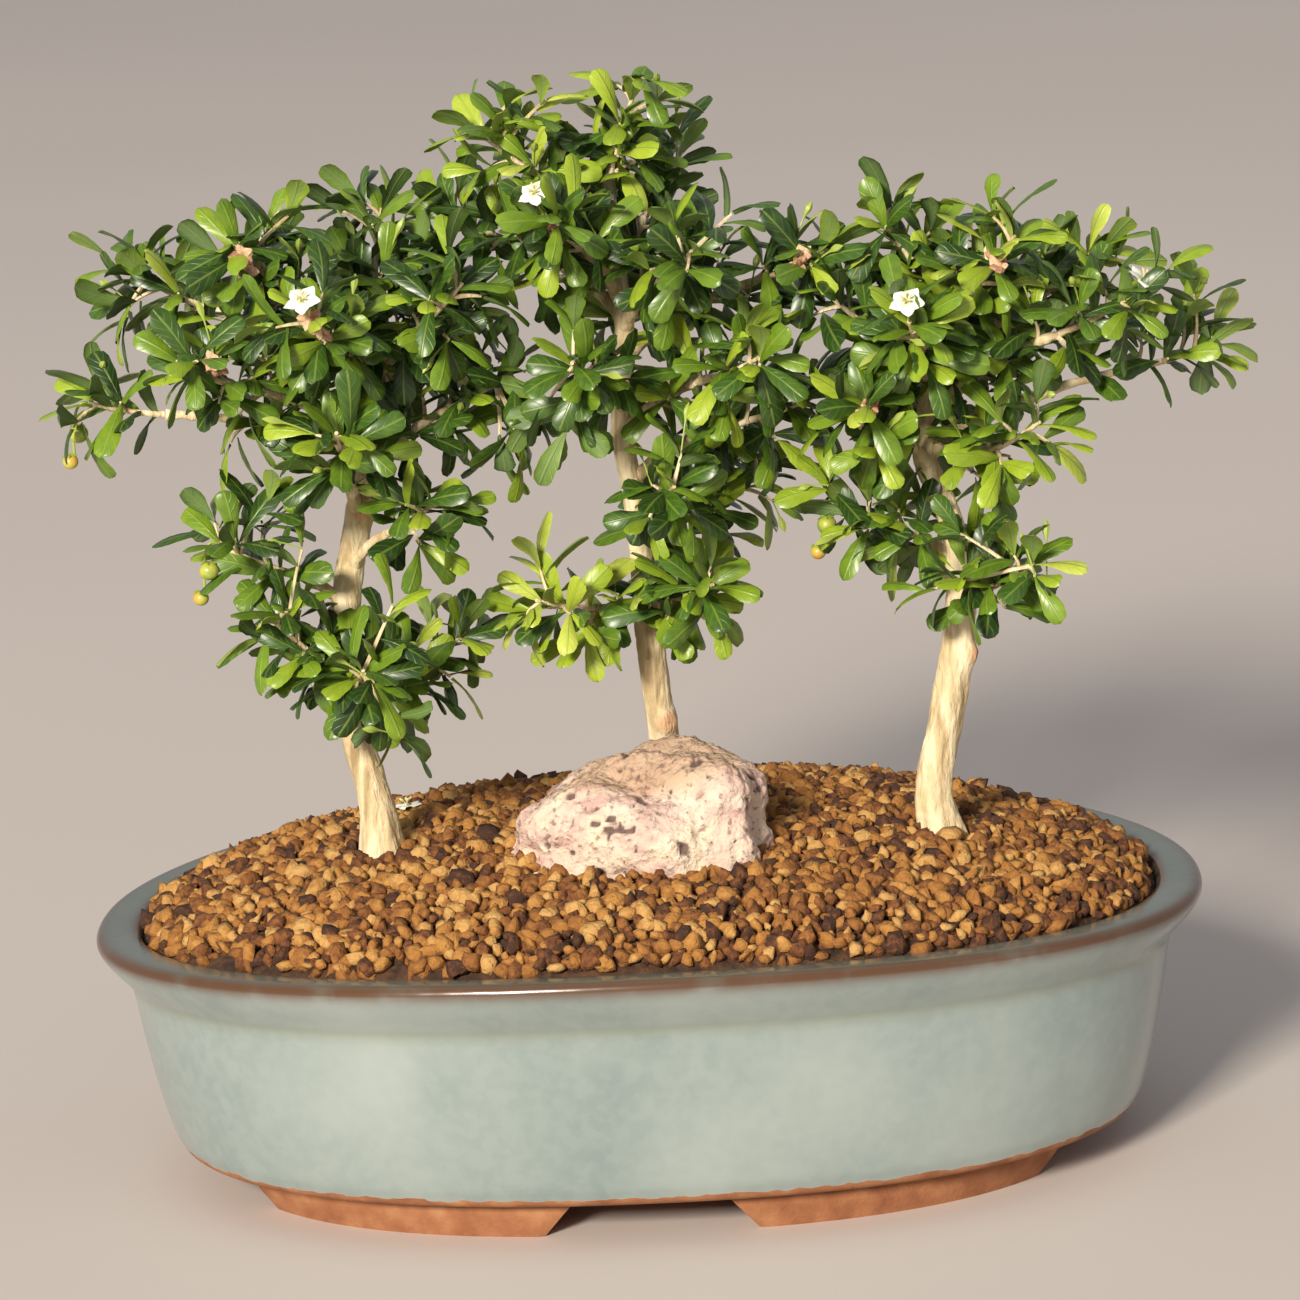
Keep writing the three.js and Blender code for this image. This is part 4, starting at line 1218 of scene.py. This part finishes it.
class Finish:
    """A material worked out from the place on the object and from the piece's own values."""

    def __init__(self, name, roughness=0.5):
        self.material = bpy.data.materials.new(name)
        self.material.use_nodes = True
        self.nodes = self.material.node_tree.nodes
        self.links = self.material.node_tree.links
        self.shader = self.nodes["Principled BSDF"]
        self.shader.inputs["Roughness"].default_value = roughness
        self.place = self.nodes.new("ShaderNodeTexCoord").outputs["Object"]

    def node(self, kind, inputs, **settings):
        """A node with its settings, and its inputs set to values or joined to other nodes."""
        made = self.nodes.new(kind)
        for name, value in settings.items():
            setattr(made, name, value)
        for name, value in inputs.items():
            self.join(value, made.inputs[name])
        return made

    def join(self, value, socket):
        """Sets a socket to a value, or joins it to another node's."""
        if isinstance(value, bpy.types.NodeSocket):
            self.links.new(value, socket)
        else:
            socket.default_value = value

    def value(self, name):
        """The piece's own value of a name."""
        return self.node("ShaderNodeAttribute", {}, attribute_name=name).outputs["Fac"]

    def bumps(self, size, detail=3.0, stretch=(1, 1, 1), twist=0.0):
        """Noise between 0 and 1 with bumps of one size in metres, stretched along the axes."""
        scaled = self.node("ShaderNodeMapping", {"Vector": self.place, "Scale": stretch}).outputs["Vector"]
        inputs = {"Vector": scaled, "Scale": 1 / size, "Detail": detail, "Distortion": twist}
        return self.node("ShaderNodeTexNoise", inputs).outputs["Fac"]

    def step(self, operation, first, second=0.0):
        """One arithmetic step."""
        return self.node("ShaderNodeMath", {0: first, 1: second}, operation=operation).outputs[0]

    def between(self, value, low, high, to_low=0.0, to_high=1.0):
        """A value's way from low to high, as a smooth step between two others."""
        inputs = {"Value": value, "From Min": low, "From Max": high, "To Min": to_low, "To Max": to_high}
        made = self.node("ShaderNodeMapRange", inputs, interpolation_type="SMOOTHSTEP")
        return made.outputs["Result"]

    def uneven(self, name, size, detail, reach):
        """The piece's own value of a name, raised and lowered by noise up to a reach."""
        push = self.between(self.bumps(size, detail), 0.2, 0.8, -reach, reach)
        return self.step("ADD", self.value(name), push)

    def ramp(self, value, stops):
        """A colour for each value, mixed between the listed ones."""
        made = self.node("ShaderNodeValToRGB", {"Fac": value})
        elements = made.color_ramp.elements
        while len(elements) < len(stops):
            elements.new(0.5)
        for element, (position, colour) in zip(elements, stops):
            element.position = position
            element.color = (*colour, 1)
        return made.outputs["Color"]

    def mix(self, share, first, second):
        """First colour, and the share of the second over it."""
        made = self.node("ShaderNodeMix", {}, data_type="RGBA")
        pairs = ((share, 0), (first, 6), (second, 7))
        for value, index in pairs:
            self.join((*value, 1) if isinstance(value, tuple) else value, made.inputs[index])
        return made.outputs[2]

    def finish(self, colour, bump=None, depth=0.0, roughness=None):
        """Joins colour, bump and roughness to the shader."""
        self.join(colour, self.shader.inputs["Base Color"])
        if roughness is not None:
            self.join(roughness, self.shader.inputs["Roughness"])
        if bump is not None:
            made = self.node("ShaderNodeBump", {"Height": bump, "Strength": 1.0, "Distance": depth})
            self.links.new(made.outputs["Normal"], self.shader.inputs["Normal"])
        return self.material


def glaze_finish():
    """Celadon glaze in grey and green clouds, brown where it thins on edges, darkened inside the rim as
    painted shade, over bare orange clay.
    """
    made = Finish("celadon_glaze")
    clouds = made.ramp(
        made.bumps(0.05, 4.0, (1, 1, 0.8), 0.4),
        [(0.3, (0.205, 0.258, 0.248)), (0.5, (0.265, 0.312, 0.295)), (0.7, (0.315, 0.355, 0.333))],
    )
    mottles = made.between(made.bumps(0.004, 3.0), 0.35, 0.65, 0.0, 0.22)
    colour = made.mix(mottles, clouds, (0.34, 0.385, 0.36))
    pooled = made.step("MULTIPLY", made.value("pool"), 0.4)
    colour = made.mix(pooled, colour, (0.21, 0.23, 0.15))
    # Painted shade: the inner wall between the rim and the soil darkened towards near black.
    inner_wall_painted_shade = made.step("MULTIPLY", made.value("inside"), 0.72)
    colour = made.mix(inner_wall_painted_shade, colour, (0.085, 0.095, 0.065))
    worn = made.between(made.bumps(0.014, 4.0), 0.2, 0.5, 0.6, 1.0)
    thin = made.step("MULTIPLY", made.value("edge"), worn)
    colour = made.mix(thin, colour, (0.095, 0.043, 0.02))
    wavering = made.between(made.bumps(0.006, 3.0), 0.3, 0.7, -0.3, 0.3)
    bare = made.between(made.step("ADD", made.value("bare"), wavering), 0.42, 0.58)
    clay = made.ramp(
        made.bumps(0.008, 6.0),
        [(0.3, (0.23, 0.08, 0.03)), (0.55, (0.33, 0.133, 0.055)), (0.75, (0.41, 0.20, 0.09))],
    )
    colour = made.mix(bare, colour, clay)
    waves = made.step("MULTIPLY", made.bumps(0.02, 2.0), 0.7)
    grain = made.step("MULTIPLY", made.step("MULTIPLY", made.bumps(0.0011, 3.0), bare), 0.35)
    height = made.step("ADD", waves, grain)
    return made.finish(colour, height, 0.0006, made.between(bare, 0, 1, 0.2, 0.85))


def grit_finish():
    """Fired grains from dark red brown to pale tan, each with its own tint, rough with pores."""
    made = Finish("fired_grit", 0.92)
    tint = made.uneven("tint", 0.0016, 3.0, 0.16)
    colour = made.ramp(
        tint,
        [
            (0.02, (0.05, 0.02, 0.01)),
            (0.16, (0.145, 0.048, 0.013)),
            (0.45, (0.31, 0.125, 0.025)),
            (0.75, (0.43, 0.20, 0.045)),
            (0.98, (0.54, 0.31, 0.10)),
        ],
    )
    return made.finish(colour, made.bumps(0.0009, 4.0), 0.0007)


def earth_finish():
    """Dark damp earth between the grains."""
    made = Finish("dark_earth", 1.0)
    colour = made.ramp(made.bumps(0.004), [(0.35, (0.03, 0.014, 0.008)), (0.65, (0.10, 0.045, 0.02))])
    return made.finish(colour, made.bumps(0.002, 4.0), 0.002)


def stone_finish():
    """Cream stone with pink veils, yellow crusts, brown dust on its top, and pits darkened by their depth
    as painted shade.
    """
    made = Finish("pale_pitted_stone", 0.88)
    veils = made.ramp(
        made.bumps(0.016, 6.0, (1, 1, 1.4), 0.8),
        [(0.34, (0.46, 0.27, 0.23)), (0.48, (0.66, 0.47, 0.38)), (0.64, (0.74, 0.60, 0.44))],
    )
    crust = made.between(made.bumps(0.005, 5.0), 0.5, 0.62, 0.0, 0.5)
    colour = made.mix(crust, veils, (0.74, 0.62, 0.50))
    dust = made.between(made.value("crown"), 0.0, 0.8, 0.0, 0.8)
    colour = made.mix(dust, colour, (0.48, 0.31, 0.19))
    specks = made.between(made.bumps(0.0022, 3.0), 0.58, 0.68, 0.0, 0.7)
    colour = made.mix(specks, colour, (0.17, 0.09, 0.075))
    # Painted shade: each pit darkened towards near black by its depth.
    colour = made.mix(made.between(made.value("pit"), 0.25, 0.9, 0.0, 0.9), colour, (0.10, 0.055, 0.05))
    return made.finish(colour, made.bumps(0.0022, 6.0), 0.0016)


def bark_finish():
    """Pale bark in upright streaks, greener in places, pink brown round the scars."""
    made = Finish("pale_bark", 0.82)
    streaks = made.ramp(
        made.bumps(0.0035, 5.0, (1, 1, 0.16), 0.5),
        [(0.28, (0.36, 0.25, 0.12)), (0.44, (0.64, 0.49, 0.27)), (0.6, (0.82, 0.68, 0.44))],
    )
    green = made.between(made.bumps(0.018, 3.0), 0.5, 0.7, 0.0, 0.4)
    colour = made.mix(green, streaks, (0.42, 0.39, 0.15))
    colour = made.mix(made.between(made.value("scar"), 0.2, 0.55, 0.0, 0.8), colour, (0.60, 0.31, 0.15))
    colour = made.mix(made.between(made.value("scar"), 0.7, 0.95, 0.0, 0.6), colour, (0.24, 0.11, 0.06))
    return made.finish(colour, made.bumps(0.0013, 5.0, (1, 1, 0.3)), 0.0009)


def leaf_finish():
    """Glossy leaf, dark green when old and lime when young, paler on its midrib, veins and underside."""
    made = Finish("glossy_leaf")
    tint = made.uneven("tint", 0.004, 2.0, 0.07)
    colour = made.ramp(
        tint,
        [
            (0.0, (0.018, 0.046, 0.007)),
            (0.2, (0.048, 0.108, 0.010)),
            (0.42, (0.14, 0.235, 0.014)),
            (0.7, (0.31, 0.41, 0.025)),
            (1.0, (0.47, 0.53, 0.08)),
        ],
    )
    from_midrib = made.step("ABSOLUTE", made.value("across"))
    outwards = made.step("MULTIPLY", from_midrib, 9.0)
    slanted = made.step("SUBTRACT", made.step("MULTIPLY", made.value("along"), 36.0), outwards)
    veins = made.between(made.step("SINE", slanted), 0.75, 1.0, 0.0, 0.15)
    midrib = made.between(from_midrib, 0.04, 0.16, 0.4, 0.0)
    colour = made.mix(made.step("MAXIMUM", veins, midrib), colour, (0.26, 0.36, 0.06))
    under = made.value("under")
    colour = made.mix(made.step("MULTIPLY", under, 0.55), colour, (0.17, 0.25, 0.09))
    roughness = made.between(under, 0, 1, 0.34, 0.6)
    return made.finish(colour, made.step("MAXIMUM", veins, midrib), 0.0003, roughness)


def petal_finish():
    """White petal, a little green at its root."""
    made = Finish("white_petal", 0.55)
    colour = made.ramp(
        made.value("along"),
        [(0.0, (0.55, 0.62, 0.32)), (0.3, (0.84, 0.83, 0.70)), (1.0, (0.90, 0.88, 0.80))],
    )
    return made.finish(colour, made.bumps(0.001), 0.0001)


def berry_finish():
    """Smooth berry, green turning yellow with an orange blush."""
    made = Finish("berry_skin", 0.3)
    tint = made.uneven("tint", 0.004, 3.0, 0.3)
    colour = made.ramp(
        tint,
        [(0.1, (0.20, 0.30, 0.05)), (0.55, (0.46, 0.47, 0.08)), (0.95, (0.62, 0.33, 0.06))],
    )
    return made.finish(colour, made.bumps(0.0012), 0.0001)


def pollen_finish():
    """Pale yellow stamens, browner in spots."""
    made = Finish("pollen", 0.7)
    colour = made.ramp(made.bumps(0.0008), [(0.3, (0.60, 0.50, 0.20)), (0.7, (0.80, 0.74, 0.42))])
    return made.finish(colour)


def dried_finish():
    """Dry petals, from pink brown to tan."""
    made = Finish("dried_petal", 0.85)
    tint = made.uneven("tint", 0.002, 3.0, 0.3)
    colour = made.ramp(
        tint,
        [(0.0, (0.30, 0.14, 0.08)), (0.5, (0.60, 0.33, 0.20)), (1.0, (0.72, 0.52, 0.32))],
    )
    return made.finish(colour, made.bumps(0.0008, 4.0), 0.0005)


def mesh_plastic_finish():
    """Matt black plastic of the drain screens, scuffed with earth."""
    made = Finish("mesh_plastic", 0.65)
    colour = made.ramp(made.bumps(0.006, 5.0), [(0.4, (0.012, 0.014, 0.012)), (0.75, (0.06, 0.045, 0.03))])
    return made.finish(colour, made.bumps(0.0015, 4.0), 0.0003)


def floor_finish():
    """Plain pale floor, a trace uneven in tone."""
    made = Finish("pale_floor", 0.75)
    colour = made.ramp(made.bumps(1.2, 2.0), [(0.3, (0.58, 0.51, 0.465)), (0.7, (0.61, 0.54, 0.49))])
    return made.finish(colour)


# Camera, floor and light

CAMERA_LENS = 140.12
CAMERA_DISTANCE = 1401.0
CAMERA_AZIMUTH = 2.58
CAMERA_ELEVATION = 11.86
CAMERA_ROLL = -3.32
CAMERA_RISE = 77.9
CAMERA_TARGET_HEIGHT = 60.0
LIGHT_TARGET = (0, 0, 0.12)


def build_camera():
    """The camera where the photograph was taken from, turned a little on its own axis."""
    data = bpy.data.cameras.new("camera")
    data.sensor_width = 36.0
    data.lens = CAMERA_LENS
    data.clip_end = 100.0
    camera = bpy.data.objects.new("camera", data)
    bpy.context.scene.collection.objects.link(camera)
    azimuth, elevation, roll = np.radians([CAMERA_AZIMUTH, CAMERA_ELEVATION, CAMERA_ROLL])
    back = np.array(
        [np.sin(azimuth) * np.cos(elevation), -np.cos(azimuth) * np.cos(elevation), np.sin(elevation)]
    )
    level = np.array([np.cos(azimuth), np.sin(azimuth), 0.0])
    upright = np.cross(back, level)
    right = np.cos(roll) * level + np.sin(roll) * upright
    above = -np.sin(roll) * level + np.cos(roll) * upright
    place = back * CAMERA_DISTANCE + above * CAMERA_RISE + np.array([0, 0, CAMERA_TARGET_HEIGHT])
    place = place * METRES + POT_MIDDLE
    turned = np.eye(4)
    turned[:3, 0], turned[:3, 1], turned[:3, 2], turned[:3, 3] = right, above, back, place
    camera.matrix_world = Matrix(turned.tolist())
    bpy.context.scene.camera = camera


def build_floor():
    """A wide pale floor at the height of the feet."""
    reach = 12.0
    mesh = bpy.data.meshes.new("floor")
    corners = [(-reach, -reach, 0), (reach, -reach, 0), (reach, reach, 0), (-reach, reach, 0)]
    mesh.from_pydata(corners, [], [(0, 1, 2, 3)])
    mesh.materials.append(floor_finish())
    floor = bpy.data.objects.new("floor", mesh)
    bpy.context.scene.collection.objects.link(floor)


def area_light(name, place, target, size, power, colour):
    """A square soft light at a place, turned to a target."""
    data = bpy.data.lights.new(name, "AREA")
    data.shape = "SQUARE"
    data.size = size
    data.energy = power
    data.color = colour
    light = bpy.data.objects.new(name, data)
    bpy.context.scene.collection.objects.link(light)
    back = unit(np.array(place) - np.array(target))
    right = unit(np.cross([0, 0, 1], back))
    turned = np.eye(4)
    turned[:3, 0], turned[:3, 1], turned[:3, 2], turned[:3, 3] = right, np.cross(back, right), back, place
    light.matrix_world = Matrix(turned.tolist())


def build_lights():
    """A warm key light from the front left, a soft fill from the right and an even sky."""
    area_light("key_light", (-3.8, -10.3, 5.0), LIGHT_TARGET, 2.2, 2250, (1.0, 0.93, 0.82))
    area_light("fill_light", (4.0, -2.0, 2.2), LIGHT_TARGET, 2.5, 8, (0.9, 0.95, 1.0))
    world = bpy.data.worlds.new("sky")
    world.use_nodes = True
    sky = world.node_tree.nodes["Background"]
    sky.inputs["Color"].default_value = (0.93, 0.95, 1.0, 1)
    sky.inputs["Strength"].default_value = 0.4
    bpy.context.scene.world = world


# The pieces

glaze = glaze_finish()
clay = grit_finish()
earth = earth_finish()
stone = stone_finish()
bark = bark_finish()
leaf = leaf_finish()
flower_finishes = [petal_finish(), leaf, pollen_finish()]
berry_finishes = [berry_finish(), leaf]
screen_plastic = mesh_plastic_finish()

build_pot(glaze)
for screen in ("drain_screen_left", "drain_screen_right"):
    frame["nodes"][screen].data.materials.clear()
    frame["nodes"][screen].data.materials.append(screen_plastic)
build_soil(earth)
build_grit(clay, 1, 0.4, "grit_upper_layer", 1.0)
# The lower layer's tints are halved: painted shade in the gaps between the upper grains.
build_grit(clay, 2, -1.4, "grit_lower_layer", 0.5)
build_rock(stone)
build_fallen_blossom(flower_finishes)
build_dried_blossoms(dried_finish())
order = 0
for tree_number, (tree_name, tree) in enumerate(TREES.items()):
    build_wood(tree_name, tree_number, bark)
    for index in range(len(tree["sprays"])):
        order += 1
        build_spray(tree_name, index, order, leaf, bark)
    for number, index in enumerate(tree["blossoms"], 1):
        build_blossom(tree_name, number, index, flower_finishes)
    for number, index in enumerate(tree["berries"], 1):
        build_berries(tree_name, number, index, berry_finishes)

build_camera()
build_floor()
build_lights()
bpy.context.scene.view_settings.view_transform = "Standard"
